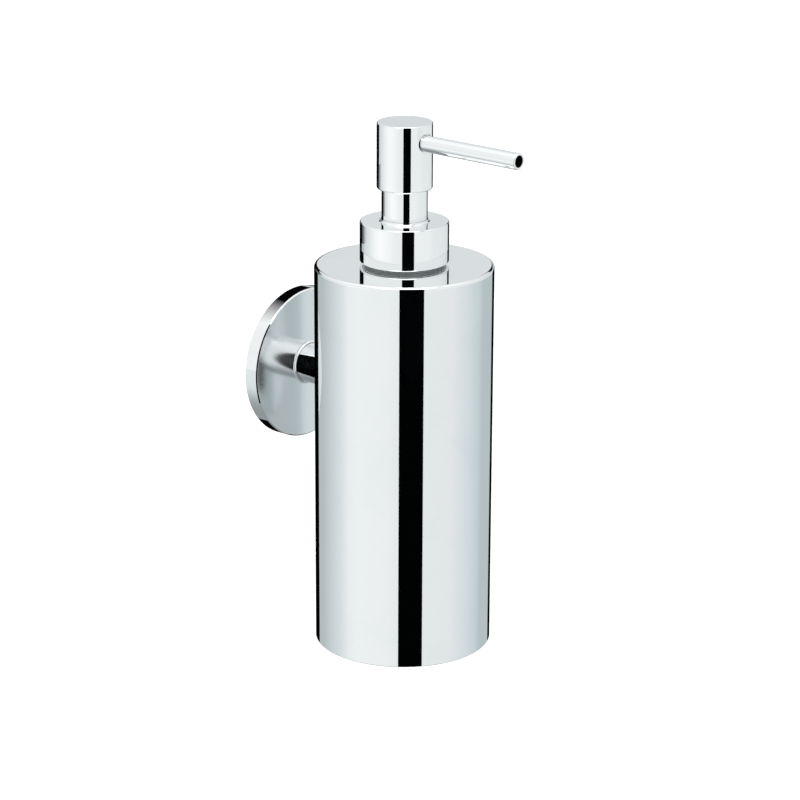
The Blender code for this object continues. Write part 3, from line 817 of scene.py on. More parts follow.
# %% [markdown]
# ### Polished chrome
#
# Chrome plate is a thin, slightly blue metal over polished brass. Its gloss is what matters: a
# roughness of a few hundredths keeps the black lines crisp and still spreads the lamp a little. The
# haze and the hairlines raise that roughness in places, too weakly to see head on.

# %% Chrome finishes
CHROME = (0.905, 0.92, 0.925)
CHROME_DULL = (0.875, 0.893, 0.90)
HAIRLINE_DEEP = 0.0002 * MM


def new_chrome(name):
    return principled(name, CHROME, 0.03, 1.0)


def wiped(tree, shader, colour, gloss, spacing, share, rougher):
    """Colour and gloss, with hairlines over them that are so much rougher."""
    lines = use_group(tree, HAIRLINES, Spacing=spacing, Share=share)
    tree.links.new(colour, shader.inputs["Base Color"])
    rough = maths(tree, "MULTIPLY_ADD", lines["Mask"], rougher)
    tree.links.new(gloss, rough.node.inputs[2])
    tree.links.new(rough, shader.inputs["Roughness"])
    bumped(tree, shader, lines["Height"], HAIRLINE_DEEP)


def make_chrome():
    material, tree, shader = new_chrome("polished_chrome")
    haze = use_group(tree, HAZE, Scale=55.0, Amount=0.8)["Mask"]
    colour, gloss = varied(tree, haze, CHROME, CHROME_DULL), varied(tree, haze, 0.022, 0.045)
    wiped(tree, shader, colour, gloss, spacing=1400.0, share=0.55, rougher=0.05)
    return material


chrome = make_chrome()
print("chrome:", chrome.name)

# %% [markdown]
# ### The rosette's face
#
# The rosette has two finishes: its rim is polished like the rest, and its flat face is a little
# softer, so the arm's reflection in it blurs as it leaves the arm. A mask over depth tells them
# apart. Seen at a second remove, in the arm's own polish, the face is kept crisp, because there the
# softness would only grey the arm's dark core.

# %% Rosette finish
rosette_low, rosette_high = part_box("rosette")
ROSETTE_DEEP = -rosette_low.y


def make_rosette_chrome():
    material, tree, shader = new_chrome("rosette_chrome")
    outward = maths(tree, "MULTIPLY", part_of(tree, object_place(tree), "Y"), -1.0)
    face = step(tree, outward, ROSETTE_DEEP - 0.06 * MM, ROSETTE_DEEP - 0.01 * MM)
    haze = use_group(tree, HAZE, Scale=70.0, Amount=0.7)["Mask"]
    direct = add(tree, "ShaderNodeLightPath").outputs["Is Camera Ray"]
    softness = maths(tree, "MULTIPLY", face, varied(tree, direct, 0.3, 1.0))
    colour, gloss = varied(tree, haze, CHROME, CHROME_DULL), varied(tree, softness, 0.025, 0.145)
    wiped(tree, shader, colour, gloss, spacing=1400.0, share=0.5, rougher=0.04)
    return material


rosette_chrome = make_rosette_chrome()
print("rosette finish:", rosette_chrome.name)

# %% [markdown]
# ### The spout's inside
#
# The plating doesn't reach into the outlet's bore, so the tube is rough inside. Its colour there is
# near black: painted shade, which keeps the hole dark. It is one piece with the chromed outside, so
# one material holds both and a mask over the distance from the tube's axis tells them apart.

# %% Spout finish
SPOUT_BORE_R = 1.8 * MM
# near black: painted shade for the inside of the bore
BORE_PAINTED_SHADE = (0.035, 0.028, 0.02)


def make_spout_chrome():
    material, tree, shader = new_chrome("spout_chrome")
    middle = {0: object_place(tree), "Location": (0, 0, -SPOUT_Z)}
    place = add(tree, "ShaderNodeMapping", middle).outputs[0]
    sides = [part_of(tree, place, axis) for axis in ("X", "Z")]
    squares = [maths(tree, "MULTIPLY", side, side) for side in sides]
    from_axis = maths(tree, "SQRT", maths(tree, "ADD", *squares))
    inside = step(tree, from_axis, SPOUT_BORE_R + 0.03 * MM, SPOUT_BORE_R + 0.01 * MM)
    # Inside the bore the colour turns near black, which is painted shade, and the gloss turns rough.
    colour, gloss = varied(tree, inside, CHROME, BORE_PAINTED_SHADE), varied(tree, inside, 0.025, 0.5)
    wiped(tree, shader, colour, gloss, spacing=1600.0, share=0.5, rougher=0.04)
    return material


spout_chrome = make_spout_chrome()
print("spout finish:", spout_chrome.name)

# %% [markdown]
# ### Plastics, rubber, plain metals and glass
#
# The hidden pieces have plainer finishes, but each still has the mark of how it was made: the pump's
# polypropylene has a mould's fine grain, the blown bottle is milky and lets light through, the foam
# washer has pores, the die casting is mottled, and the steel has a fine grain and a faint mottle.

# %% The other finishes
def make_plastic(name, colour, shade, roughness, **more):
    material, tree, shader = principled(name, colour, roughness, **more)
    haze = use_group(tree, HAZE, Scale=120.0, Amount=0.8)["Mask"]
    grain = use_group(tree, GRAIN, Scale=5000.0, Coarseness=0.6)
    tree.links.new(varied(tree, haze, colour, shade), shader.inputs["Base Color"])
    tree.links.new(varied(tree, grain["Mask"], roughness, roughness + 0.12), shader.inputs["Roughness"])
    bumped(tree, shader, grain["Height"], 0.012 * MM, 0.5)
    return material


def make_rubber(name, colour, shade, pore_scale, depth):
    material, tree, shader = principled(name, colour, 0.75)
    grain = use_group(tree, GRAIN, Scale=pore_scale, Coarseness=0.7)
    tree.links.new(varied(tree, grain["Mask"], shade, colour), shader.inputs["Base Color"])
    tree.links.new(varied(tree, grain["Mask"], 0.85, 0.65), shader.inputs["Roughness"])
    bumped(tree, shader, grain["Height"], depth, 0.6)
    return material


def make_plain_metal(name, colour, shade, roughness, depth, metallic=1.0):
    material, tree, shader = principled(name, colour, roughness, metallic)
    haze = use_group(tree, HAZE, Scale=90.0, Amount=1.0)["Mask"]
    grain = use_group(tree, GRAIN, Scale=1800.0, Coarseness=0.65)
    tree.links.new(varied(tree, haze, colour, shade), shader.inputs["Base Color"])
    tree.links.new(varied(tree, grain["Mask"], roughness, roughness + 0.15), shader.inputs["Roughness"])
    bumped(tree, shader, grain["Height"], depth, 0.6)
    return material


def make_glass():
    clear = {"IOR": 1.5, "Transmission_Weight": 1.0}
    material, tree, shader = principled("ball_glass", (0.94, 0.97, 0.96), 0.03, **clear)
    grain = use_group(tree, GRAIN, Scale=3000.0, Coarseness=0.5)
    tree.links.new(varied(tree, grain["Mask"], 0.02, 0.07), shader.inputs["Roughness"])
    bumped(tree, shader, grain["Height"], 0.001 * MM, 0.3)
    return material


pump_plastic = make_plastic("pump_polypropylene", (0.86, 0.86, 0.84), (0.80, 0.80, 0.78), 0.32)
bottle_plastic = make_plastic(
    "bottle_polyethylene",
    (0.82, 0.84, 0.83),
    (0.76, 0.79, 0.78),
    0.36,
    Transmission_Weight=0.35,
    IOR=1.51,
)
foam_rubber = make_rubber("grey_foam_rubber", (0.25, 0.27, 0.275), (0.21, 0.23, 0.235), 3000.0, 0.003 * MM)
ring_rubber = make_rubber("black_nitrile", (0.022, 0.022, 0.024), (0.010, 0.010, 0.011), 3500.0, 0.01 * MM)
cast_zinc = make_plain_metal("cast_zinc", (0.47, 0.48, 0.50), (0.36, 0.37, 0.40), 0.42, 0.03 * MM, 0.45)
steel = make_plain_metal("stainless_steel", (0.62, 0.61, 0.60), (0.54, 0.53, 0.52), 0.22, 0.004 * MM)
ball_glass = make_glass()
print("finishes:", len(bpy.data.materials))

# %% [markdown]
# ## The wall side
#
# The rosette is a shallow cup. Its front edge is broken at 45 degrees, which shows as the fine dark
# line round the face, and its hole is drawn out into a small flare that hugs the arm.

# %% Rosette
LIP = 0.7 * MM
EDGE = 0.36 * MM
ARM_R = 6.3 * MM
ROSETTE_R = (rosette_high.x - rosette_low.x) / 2
ROSETTE_SKIN = 1.2 * MM


def make_rosette():
    hole_r = ARM_R + CLEAR
    lip_r = hole_r + 0.08 * MM
    inner_r = ROSETTE_R - 1.6 * MM
    corners = [
        (hole_r, ROSETTE_DEEP + LIP, 0),
        (lip_r, ROSETTE_DEEP + LIP, 0),
        (lip_r, ROSETTE_DEEP, 0.6 * MM),
        (ROSETTE_R - EDGE, ROSETTE_DEEP, 0.06 * MM),
        (ROSETTE_R, ROSETTE_DEEP - EDGE, 0.06 * MM),
        (ROSETTE_R, 0, 0.15 * MM),
        (inner_r, 0, 0),
        (inner_r, ROSETTE_DEEP - ROSETTE_SKIN, 0.5 * MM),
        (hole_r, ROSETTE_DEEP - ROSETTE_SKIN, 0),
    ]
    cover = turned("rosette_cover", corners, rosette_chrome, OFF_WALL, steps=256)
    finish_piece(cover, "holder", "rosette")


make_rosette()

# %% [markdown]
# The arm is a short post. Its foot has a flange that the rosette's skin clamps, a bore for the wall
# plate's boss and a tapped hole from below for the set screw. Its other end is hollowed to the
# cylinder's radius, so that the two meet without a gap.

# %% Arm
arm_low, arm_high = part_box("arm")
ARM_END = AXIS_OUT - BODY_R
plate_low, plate_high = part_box("wall_plate")
PLATE_R = (plate_high.x - plate_low.x) / 2
PLATE_THICK = 2.0 * MM
BOSS_END = -plate_low.y
BOSS_R = 4.2 * MM
grub_low, grub_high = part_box("arm_grub_screw")
GRUB_OUT = -(grub_low.y + grub_high.y) / 2
GRUB_R = (grub_high.x - grub_low.x) / 2


def make_arm():
    flange_r = (arm_high.x - arm_low.x) / 2
    flange_top = ROSETTE_DEEP - ROSETTE_SKIN - CLEAR
    bore_r = BOSS_R + 0.3 * MM
    bore_end = BOSS_END + 0.3 * MM
    corners = [
        (0, ARM_END + 2 * MM, 0),
        (ARM_R, ARM_END + 2 * MM, 0),
        (ARM_R, flange_top, 0),
        (flange_r, flange_top, 0.15 * MM),
        (flange_r, -arm_high.y, 0.15 * MM),
        (bore_r, -arm_high.y, 0.2 * MM),
        (bore_r, bore_end, 0),
        (0, bore_end, 0),
    ]
    arm = turned("wall_arm", corners, chrome, OFF_WALL, steps=192, ring=False)
    saddle = upright_bar(BODY_R + CLEAR, AXIS_OUT, -12 * MM, 12 * MM, 512)
    tapped = level_bar(2.6 * MM, 0, bore_end - 1 * MM, ARM_END + 3 * MM)
    grub_hole = upright_bar(GRUB_R + CLEAR, GRUB_OUT, -8 * MM, 0, 48)
    carve(arm, saddle, tapped, grub_hole)
    finish_piece(arm, "holder", "arm")


make_arm()

# %% [markdown]
# ## The cylinder
#
# This is the main piece, and the plainest: a straight tube closed by a flat top, with one small
# radius between them and nearly none at the open end. All of its character is in that radius.

# %% Cylinder
SHELL_WALL = 1.2 * MM
TOP_PLATE = 1.5 * MM
NECK_HOLE_R = 11.1 * MM


def make_cylinder():
    bore_r = BODY_R - SHELL_WALL
    corners = [
        (NECK_HOLE_R, TOP_Z, 0.2 * MM),
        (BODY_R, TOP_Z, 1.0 * MM),
        (BODY_R, BASE_Z, 0.25 * MM),
        (bore_r, BASE_Z, 0.15 * MM),
        (bore_r, TOP_Z - TOP_PLATE, 0.6 * MM),
        (NECK_HOLE_R, TOP_Z - TOP_PLATE, 0.1 * MM),
    ]
    cylinder = turned("polished_cylinder", corners, chrome, steps=288)
    carve(cylinder, level_bar(2.8 * MM, 0, ARM_END - 3 * MM, ARM_END + 4 * MM, 48))
    finish_piece(cylinder, "holder", "body_shell")


make_cylinder()

# %% [markdown]
# ## Collar, sleeve, head and spout
#
# The collar is a cap over the pump's threaded nut, with a small hollow fillet up to the sleeve.
# Under it lies a soft grey washer, set back from its edge, which shows as a matt band between two
# mirrors. The sleeve stands still, and the head slides down over it.

# %% Collar and washer
SLEEVE_R = 7.0 * MM
HAIR = 0.01 * MM  # keeps the washer just off its two neighbours


def make_collar():
    wall = 0.8 * MM
    hole_r = SLEEVE_R + CLEAR
    lip_r = hole_r + 0.08 * MM
    corners = [
        (hole_r, COLLAR_TOP_Z + 0.85 * MM, 0),
        (lip_r, COLLAR_TOP_Z + 0.85 * MM, 0),
        (lip_r, COLLAR_TOP_Z, 0.75 * MM),
        (COLLAR_R, COLLAR_TOP_Z, 0.4 * MM),
        (COLLAR_R, COLLAR_Z, 0.5 * MM),
        (COLLAR_R - wall, COLLAR_Z, 0.1 * MM),
        (COLLAR_R - wall, COLLAR_TOP_Z - 1.0 * MM, 0.1 * MM),
        (hole_r, COLLAR_TOP_Z - 1.0 * MM, 0),
    ]
    collar = turned("collar_cap", corners, chrome, steps=256)
    finish_piece(collar, "collar", "collar_shell")


def make_washer():
    washer_r = upright("collar_gasket")[0] - 0.4 * MM
    low, high = TOP_Z + HAIR, COLLAR_Z - HAIR
    inner_r = NECK_HOLE_R + CLEAR
    corners = [
        (inner_r, high, 0.1 * MM),
        (washer_r, high, 0.02 * MM),
        (washer_r, low, 0.02 * MM),
        (inner_r, low, 0.1 * MM),
    ]
    washer = turned("foam_washer", corners, foam_rubber, steps=192)
    finish_piece(washer, "holder", "collar_gasket")


make_collar()
make_washer()

# %% Sleeve
def make_sleeve():
    foot_r, low, high = upright("neck_sleeve")
    inner_r = SLEEVE_R - 0.6 * MM
    foot_top = COLLAR_TOP_Z - 1.1 * MM
    corners = [
        (inner_r, high, 0.1 * MM),
        (SLEEVE_R, high, 0.25 * MM),
        (SLEEVE_R, foot_top, 0.15 * MM),
        (foot_r, foot_top, 0.15 * MM),
        (foot_r, low, 0.15 * MM),
        (inner_r, low, 0.1 * MM),
    ]
    sleeve = turned("pump_sleeve", corners, chrome, steps=192)
    finish_piece(sleeve, "pump_unit", "neck_sleeve")


make_sleeve()

# %% [markdown]
# The head is a cup turned from bar. The hole for the spout is cut square to its axis, with a shallow
# counterbore that draws a thin ring round the tube.

# %% Head
HEAD_WALL = 1.1 * MM
HEAD_ROOF = 1.2 * MM


def make_head():
    bore_r = HEAD_R - HEAD_WALL
    corners = [
        (0, HEAD_TOP_Z, 0),
        (HEAD_R, HEAD_TOP_Z, 0.35 * MM),
        (HEAD_R, HEAD_Z, 0.6 * MM),
        (bore_r, HEAD_Z, 0.15 * MM),
        (bore_r, HEAD_TOP_Z - HEAD_ROOF, 0.3 * MM),
        (0, HEAD_TOP_Z - HEAD_ROOF, 0),
    ]
    head = turned("press_head", corners, chrome, steps=256, ring=False)
    ring_r = SPOUT_R + 0.5 * MM
    ring_out = AXIS_OUT + math.sqrt(HEAD_R**2 - ring_r**2) - 0.1 * MM
    hole = level_bar(SPOUT_R + CLEAR, SPOUT_Z, AXIS_OUT + 4 * MM, AXIS_OUT + 12 * MM)
    ring = level_bar(ring_r, SPOUT_Z, ring_out, AXIS_OUT + 12 * MM)
    carve(head, hole, ring)
    finish_piece(head, "head", "head_shell")


def make_spout():
    tip = -spout_low.y - AXIS_OUT
    start = -spout_high.y - AXIS_OUT
    corners = [
        (SPOUT_BORE_R, tip, 0.12 * MM),
        (SPOUT_R, tip, 0.22 * MM),
        (SPOUT_R, start, 0.1 * MM),
        (SPOUT_BORE_R, start, 0),
    ]
    place = Matrix.Translation((0, -AXIS_OUT, SPOUT_Z)) @ OFF_WALL
    spout = turned("outlet_spout", corners, spout_chrome, place, steps=128)
    finish_piece(spout, "head", "spout_tube")


make_head()
make_spout()

# %% [markdown]
# ## Wound pieces
#
# Screw threads and the spring follow a helix, so one tree winds both: a spiral curve, a section
# swept along it, and named inputs for the sizes. The thread's section is a trapezoid, flat on top as
# a moulded thread is, and it runs out to nothing at both ends. The spring's first and last turns
# lie closer together, because a coiled spring stands on closed ends.

# %% The winding tree
CLOSED_SHARE = 0.68  # how much of the rise the closed end turns give up
THIN_END = 0.05  # how thick a thread still is where it runs out


def make_winding():
    tree, given, result = new_group(
        "GeometryNodeTree",
        "winding",
        [
            ("Section", "NodeSocketGeometry", None),
            ("Radius", "NodeSocketFloat", 10 * MM),
            ("Height", "NodeSocketFloat", 5 * MM),
            ("Turns", "NodeSocketFloat", 2.0),
            ("Run Out", "NodeSocketFloat", 0.0),
            ("Closed Ends", "NodeSocketFloat", 0.0),
            ("Finish", "NodeSocketMaterial", None),
        ],
        [("Geometry", "NodeSocketGeometry")],
    )
    radius, height, turns = (given.outputs[label] for label in ("Radius", "Height", "Turns"))
    size = {"Resolution": 48, "Rotations": turns, "Start Radius": radius, "End Radius": radius}
    size.update({"Height": height, "Reverse": True})  # reversed, it is right-handed
    spiral = add(tree, "GeometryNodeCurveSpiral", size).outputs[0]
    along = add(tree, "GeometryNodeSplineParameter").outputs["Factor"]
    ends = given.outputs["Closed Ends"]
    middle = step(tree, along, ends, maths(tree, "SUBTRACT", 1.0, ends))
    closeness = maths(tree, "MULTIPLY", maths(tree, "SUBTRACT", middle, along), CLOSED_SHARE)
    lift = add(tree, "ShaderNodeCombineXYZ", {2: maths(tree, "MULTIPLY", closeness, height)}).outputs[0]
    wire = add(tree, "GeometryNodeSetPosition", {0: spiral, "Offset": lift}).outputs[0]
    level = add(tree, "GeometryNodeSetCurveNormal", {0: wire}, mode="Z_UP").outputs[0]
    nearest = maths(tree, "MINIMUM", along, maths(tree, "SUBTRACT", 1.0, along))
    run_out = maths(tree, "MAXIMUM", given.outputs["Run Out"], 0.0001)  # never a division by zero
    fade = maths(tree, "DIVIDE", nearest, run_out, clamp=True)
    full = maths(tree, "MAXIMUM", fade, THIN_END)
    section = add(tree, "GeometryNodeMeshToCurve", {0: given.outputs["Section"]}).outputs[0]
    sweep = {0: level, "Profile Curve": section, "Scale": full, "Fill Caps": True}
    hand_out(tree, add(tree, "GeometryNodeCurveToMesh", sweep).outputs[0], given, result)
    return tree


winding = make_winding()
print("winding inputs:", [item.name for item in winding.interface.items_tree if item.in_out == "INPUT"])


def wound(name, section, finish, place, **sizes):
    """A piece wound from a section of (outward, upward) points, starting at the height of its place."""
    mesh = bpy.data.meshes.new(name)
    edges = [(i, (i + 1) % len(section)) for i in range(len(section))]
    mesh.from_pydata([(out, up, 0) for out, up in section], edges, [])
    values = {label.replace("_", " "): value for label, value in sizes.items()}
    mesh = run_tree(winding, bpy.data.objects.new(name, mesh), {**values, "Finish": finish})
    face_out(mesh)
    mesh.transform(place)
    smooth(mesh)
    return new_object(name, mesh)


ROOT_SUNK = 0.08 * MM


def thread_section(depth, root, crest):
    """A trapezoid with its root inside the wall and its crest `depth` out of it."""
    sunk = -math.copysign(ROOT_SUNK, depth)
    return [(sunk, -root), (depth, -crest), (depth, crest), (sunk, root)]


def round_section(radius, points=12):
    turns = [2 * math.pi * i / points for i in range(points)]
    return [(radius * math.cos(turn), radius * math.sin(turn)) for turn in turns]


def join(piece, *others):
    """Puts other pieces' meshes into the first one's. The others are used up."""
    shape = bmesh.new()
    for part in (piece, *others):
        shape.from_mesh(part.data)
    shape.to_mesh(piece.data)
    shape.free()
    for part in others:
        bpy.data.objects.remove(part)
    smooth(piece.data)


# %% [markdown]
# ## Behind the rosette
#
# The wall plate is a zinc casting with a boss for the arm. Its two screw holes are countersunk, one
# round and one a slot, so that the dispenser can be set upright. The wall is behind it, and the
# screws themselves belong to the wall.

# %% Wall plate
WALL_HOLE_OUT = 14.5 * MM
WALL_HOLE_R = 2.3 * MM
SLOT_HALF = 1.6 * MM
BOSS_FLAT = 3.3 * MM
FLAT_HALF = 2.1 * MM


def countersink(x, z):
    """A cone that opens towards the front of the plate."""
    front, bottom = PLATE_THICK + 0.2 * MM, 0.6 * MM
    corners = [(0, front, 0), (4.0 * MM, front, 0), (2.2 * MM, bottom, 0), (0, bottom, 0)]
    place = Matrix.Translation((x, 0, z)) @ OFF_WALL
    return turned("countersink", corners, cast_zinc, place, steps=48, ring=False)


def make_wall_plate():
    corners = [
        (0, BOSS_END, 0),
        (BOSS_R, BOSS_END, 0.5 * MM),
        (BOSS_R, PLATE_THICK, 0.8 * MM),
        (PLATE_R, PLATE_THICK, 0.5 * MM),
        (PLATE_R, 0, 0.2 * MM),
        (0, 0, 0),
    ]
    plate = turned("zinc_wall_plate", corners, cast_zinc, OFF_WALL, steps=128, ring=False)
    behind, front = 1 * MM, -PLATE_THICK - 1 * MM
    cutters = []
    for x, z in ((0, WALL_HOLE_OUT), (-SLOT_HALF, -WALL_HOLE_OUT), (SLOT_HALF, -WALL_HOLE_OUT)):
        cutters.append(bar(WALL_HOLE_R, (x, behind, z), (x, front, z), 48))
        cutters.append(countersink(x, z))
    slot_low = (-SLOT_HALF, front, -WALL_HOLE_OUT - WALL_HOLE_R)
    cutters.append(box_between(slot_low, (SLOT_HALF, behind, -WALL_HOLE_OUT + WALL_HOLE_R)))
    flat_low = (-BOSS_R, -GRUB_OUT - FLAT_HALF, -2 * BOSS_R)
    cutters.append(box_between(flat_low, (BOSS_R, -GRUB_OUT + FLAT_HALF, -BOSS_FLAT)))
    carve(plate, *cutters)
    finish_piece(plate, "holder", "wall_plate")


make_wall_plate()

# %% [markdown]
# Two screws hold the arm. The small set screw stands up from below and presses on the flat of the
# boss. The pan head screw sits inside the cylinder and pulls it against the arm, over a washer that
# is bent to the cylinder's wall. Both have a hexagon socket and a real thread.

# %% Screws and washer
SCREW_PITCH = 0.8 * MM


def screw_thread(name, radius, low, high, place):
    """A fine thread on a screw's shank, from one level to another."""
    section = thread_section(0.22 * MM, 0.3 * MM, 0.08 * MM)
    start = place @ Matrix.Translation((0, 0, low))
    height = high - low
    sizes = {"Radius": radius, "Height": height, "Turns": height / SCREW_PITCH, "Run_Out": 0.08}
    return wound(name, section, steel, start, **sizes)


def make_set_screw():
    top, foot = grub_high.z, grub_low.z
    root_r = GRUB_R - 0.25 * MM
    corners = [
        (0, top, 0),
        (root_r - 0.5 * MM, top, 0.1 * MM),
        (root_r, top - 0.5 * MM, 0.1 * MM),
        (root_r, foot, 0.2 * MM),
        (0, foot, 0),
    ]
    place = Matrix.Translation((0, -GRUB_OUT, 0))
    screw = turned("set_screw", corners, steel, place, steps=64, ring=False)
    carve(screw, upright_bar(hexagon_r(2.0 * MM), GRUB_OUT, foot - 1 * MM, foot + 1.1 * MM, 6))
    join(screw, screw_thread("set_thread", root_r, foot + 0.3 * MM, top - 0.6 * MM, place))
    finish_piece(screw, "holder", "arm_grub_screw")


def make_curved_washer():
    far = ARM_END + 2.6 * MM
    hole_r, washer_r = 2.7 * MM, 5.0 * MM
    corners = [
        (hole_r, far, 0.15 * MM),
        (washer_r, far, 0.3 * MM),
        (washer_r, ARM_END, 0),
        (hole_r, ARM_END, 0),
    ]
    washer = turned("curved_washer", corners, steel, OFF_WALL, steps=96)
    wall = upright_bar(BODY_R - SHELL_WALL - CLEAR, AXIS_OUT, -12 * MM, 12 * MM, 512)
    carve(washer, wall, operation="INTERSECT")
    finish_piece(washer, "holder", "saddle_washer")


def make_pan_screw():
    screw_low, screw_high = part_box("arm_screw")
    head_end, tip = -screw_low.y, -screw_high.y
    seat = head_end - 1.9 * MM
    head_r, root_r = 4.2 * MM, 2.15 * MM
    corners = [
        (0, head_end, 0),
        (head_r, head_end, 0.9 * MM),
        (head_r, seat, 0.15 * MM),
        (root_r, seat, 0.2 * MM),
        (root_r, tip, 0.5 * MM),
        (0, tip, 0),
    ]
    screw = turned("pan_screw", corners, steel, OFF_WALL, steps=96, ring=False)
    carve(screw, level_bar(hexagon_r(3.0 * MM), 0, head_end + 1 * MM, head_end - 1.3 * MM, 6))
    join(screw, screw_thread("pan_thread", root_r, tip + 0.6 * MM, ARM_END - 0.4 * MM, OFF_WALL))
    finish_piece(screw, "holder", "arm_screw")


make_set_screw()
make_curved_washer()
make_pan_screw()

# %% [markdown]
# ## Base cap, ring and bottle
#
# The cap closes the cylinder from below. A rubber ring in its groove holds it by friction. The
# bottle inside is blown from milky polyethylene, so its corners are soft and its floor is raised in
# the middle. Its neck stands through the cylinder's top and carries a helical thread.

# %% Base cap and ring
def make_base_cap():
    rim_r, low, rim_top = upright("base_cap")
    inner_r = rim_r - 2.6 * MM
    floor_top = low + 1.6 * MM
    groove_r = rim_r - 1.3 * MM
    groove_low, groove_high = low + 2.6 * MM, low + 4.3 * MM
    corners = [
        (0, floor_top, 0),
        (inner_r, floor_top, 0.5 * MM),
        (inner_r, rim_top, 0.2 * MM),
        (rim_r, rim_top, 0.3 * MM),
        (rim_r, groove_high, 0.1 * MM),
        (groove_r, groove_high, 0.1 * MM),
        (groove_r, groove_low, 0.1 * MM),
        (rim_r, groove_low, 0.1 * MM),
        (rim_r, low, 0.35 * MM),
        (0, low, 0),
    ]
    cap = turned("base_cover", corners, chrome, steps=192, ring=False)
    finish_piece(cap, "holder", "base_cap")


def make_ring():
    outer_r, low, high = upright("base_oring")
    section_r = (high - low) / 2
    middle = (outer_r - section_r, (high + low) / 2)
    corners = [(middle[0] + out, middle[1] - up, 0) for out, up in round_section(section_r, 20)]
    ring = turned("nitrile_ring", corners, ring_rubber, steps=160)
    finish_piece(ring, "holder", "base_oring")


make_base_cap()
make_ring()

# %% Bottle
NECK_R = 9.7 * MM
NECK_BORE_R = 8.5 * MM
THREAD_PITCH = 2.5 * MM
THREAD_LOW = COLLAR_Z + 1.6 * MM
THREAD_HIGH = COLLAR_Z + 5.6 * MM


def make_bottle():
    bottle_r, low, rim = upright("inner_bottle")
    wall = 1.0 * MM
    dome = low + 0.8 * MM
    shoulder = TOP_Z - TOP_PLATE - CLEAR
    corners = [
        (0, dome + wall, 0),
        (bottle_r - wall, low + wall, 2.0 * MM),
        (bottle_r - wall, shoulder - wall, 3.0 * MM),
        (NECK_BORE_R, shoulder - wall, 0.8 * MM),
        (NECK_BORE_R, rim, 0.15 * MM),
        (NECK_R, rim, 0.3 * MM),
        (NECK_R, shoulder, 0.5 * MM),
        (bottle_r, shoulder, 4.0 * MM),
        (bottle_r, low, 3.0 * MM),
        (0, dome, 0),
    ]
    bottle = turned("blown_bottle", corners, bottle_plastic, steps=160, ring=False)
    place = ON_AXIS @ Matrix.Translation((0, 0, THREAD_LOW))
    height = THREAD_HIGH - THREAD_LOW
    section = thread_section(1.0 * MM, 0.6 * MM, 0.22 * MM)
    sizes = {"Radius": NECK_R, "Height": height, "Turns": height / THREAD_PITCH, "Run_Out": 0.06}
    join(bottle, wound("neck_thread", section, bottle_plastic, place, **sizes))
    finish_piece(bottle, "holder", "inner_bottle")


make_bottle()

# %% [markdown]
# ## The nut and the pump
#
# Under the chromed collar is the nut that really holds the pump: a moulded ring with an inner
# thread half a pitch away from the bottle's, so the two mesh. It presses the pump's flange and a
# soft washer on the bottle's rim.

# %% Nut and mouth seal
def make_nut():
    outer_r, low, high = upright("collar_nut")
    bore_r = NECK_R + 1.3 * MM
    lip_r = 8.9 * MM
    ledge = high - 1.0 * MM
    corners = [
        (lip_r, high, 0.1 * MM),
        (outer_r, high, 0.3 * MM),
        (outer_r, low, 0.1 * MM),
        (bore_r, low, 0.2 * MM),
        (bore_r, ledge, 0.2 * MM),
        (lip_r, ledge, 0.1 * MM),
    ]
    nut = turned("threaded_nut", corners, pump_plastic, steps=128)
    height = THREAD_HIGH - THREAD_LOW - THREAD_PITCH / 2
    place = ON_AXIS @ Matrix.Translation((0, 0, THREAD_LOW)) @ Matrix.Rotation(math.pi, 4, "Z")
    section = thread_section(-1.0 * MM, 0.5 * MM, 0.2 * MM)
    sizes = {"Radius": bore_r, "Height": height, "Turns": height / THREAD_PITCH, "Run_Out": 0.08}
    join(nut, wound("nut_thread", section, pump_plastic, place, **sizes))
    finish_piece(nut, "collar", "collar_nut")


def make_mouth_seal():
    outer_r, low, high = upright("mouth_seal")
    inner_r = 6.3 * MM
    corners = [
        (outer_r, high, 0.1 * MM),
        (outer_r, low, 0.1 * MM),
        (inner_r, low, 0.1 * MM),
        (inner_r, high, 0.1 * MM),
    ]
    seal = turned("mouth_washer", corners, foam_rubber, steps=128)
    finish_piece(seal, "pump_unit", "mouth_seal")


make_nut()
make_mouth_seal()

# %% [markdown]
# The barrel hangs in the bottle's neck. From the top down it has a flange, the bore that the piston
# slides in, the step that the spring stands on, the chamber of the lower valve with its glass ball,
# and the socket of the dip tube.

# %% Barrel, ball and tube
BARREL_R = 6.0 * MM
BARREL_BORE_R = 5.1 * MM
STEM_R = 3.0 * MM
STEM_BORE_R = 1.7 * MM
BALL_R, BALL_LOW, BALL_HIGH = upright("valve_ball")
TUBE_R, TUBE_END, TUBE_TOP = upright("dip_tube")
TUBE_BORE_R = 1.7 * MM
FLANGE_R, SOCKET_END, FLANGE_TOP = upright("pump_cylinder")
STEP_Z = FLANGE_TOP - 33.6 * MM


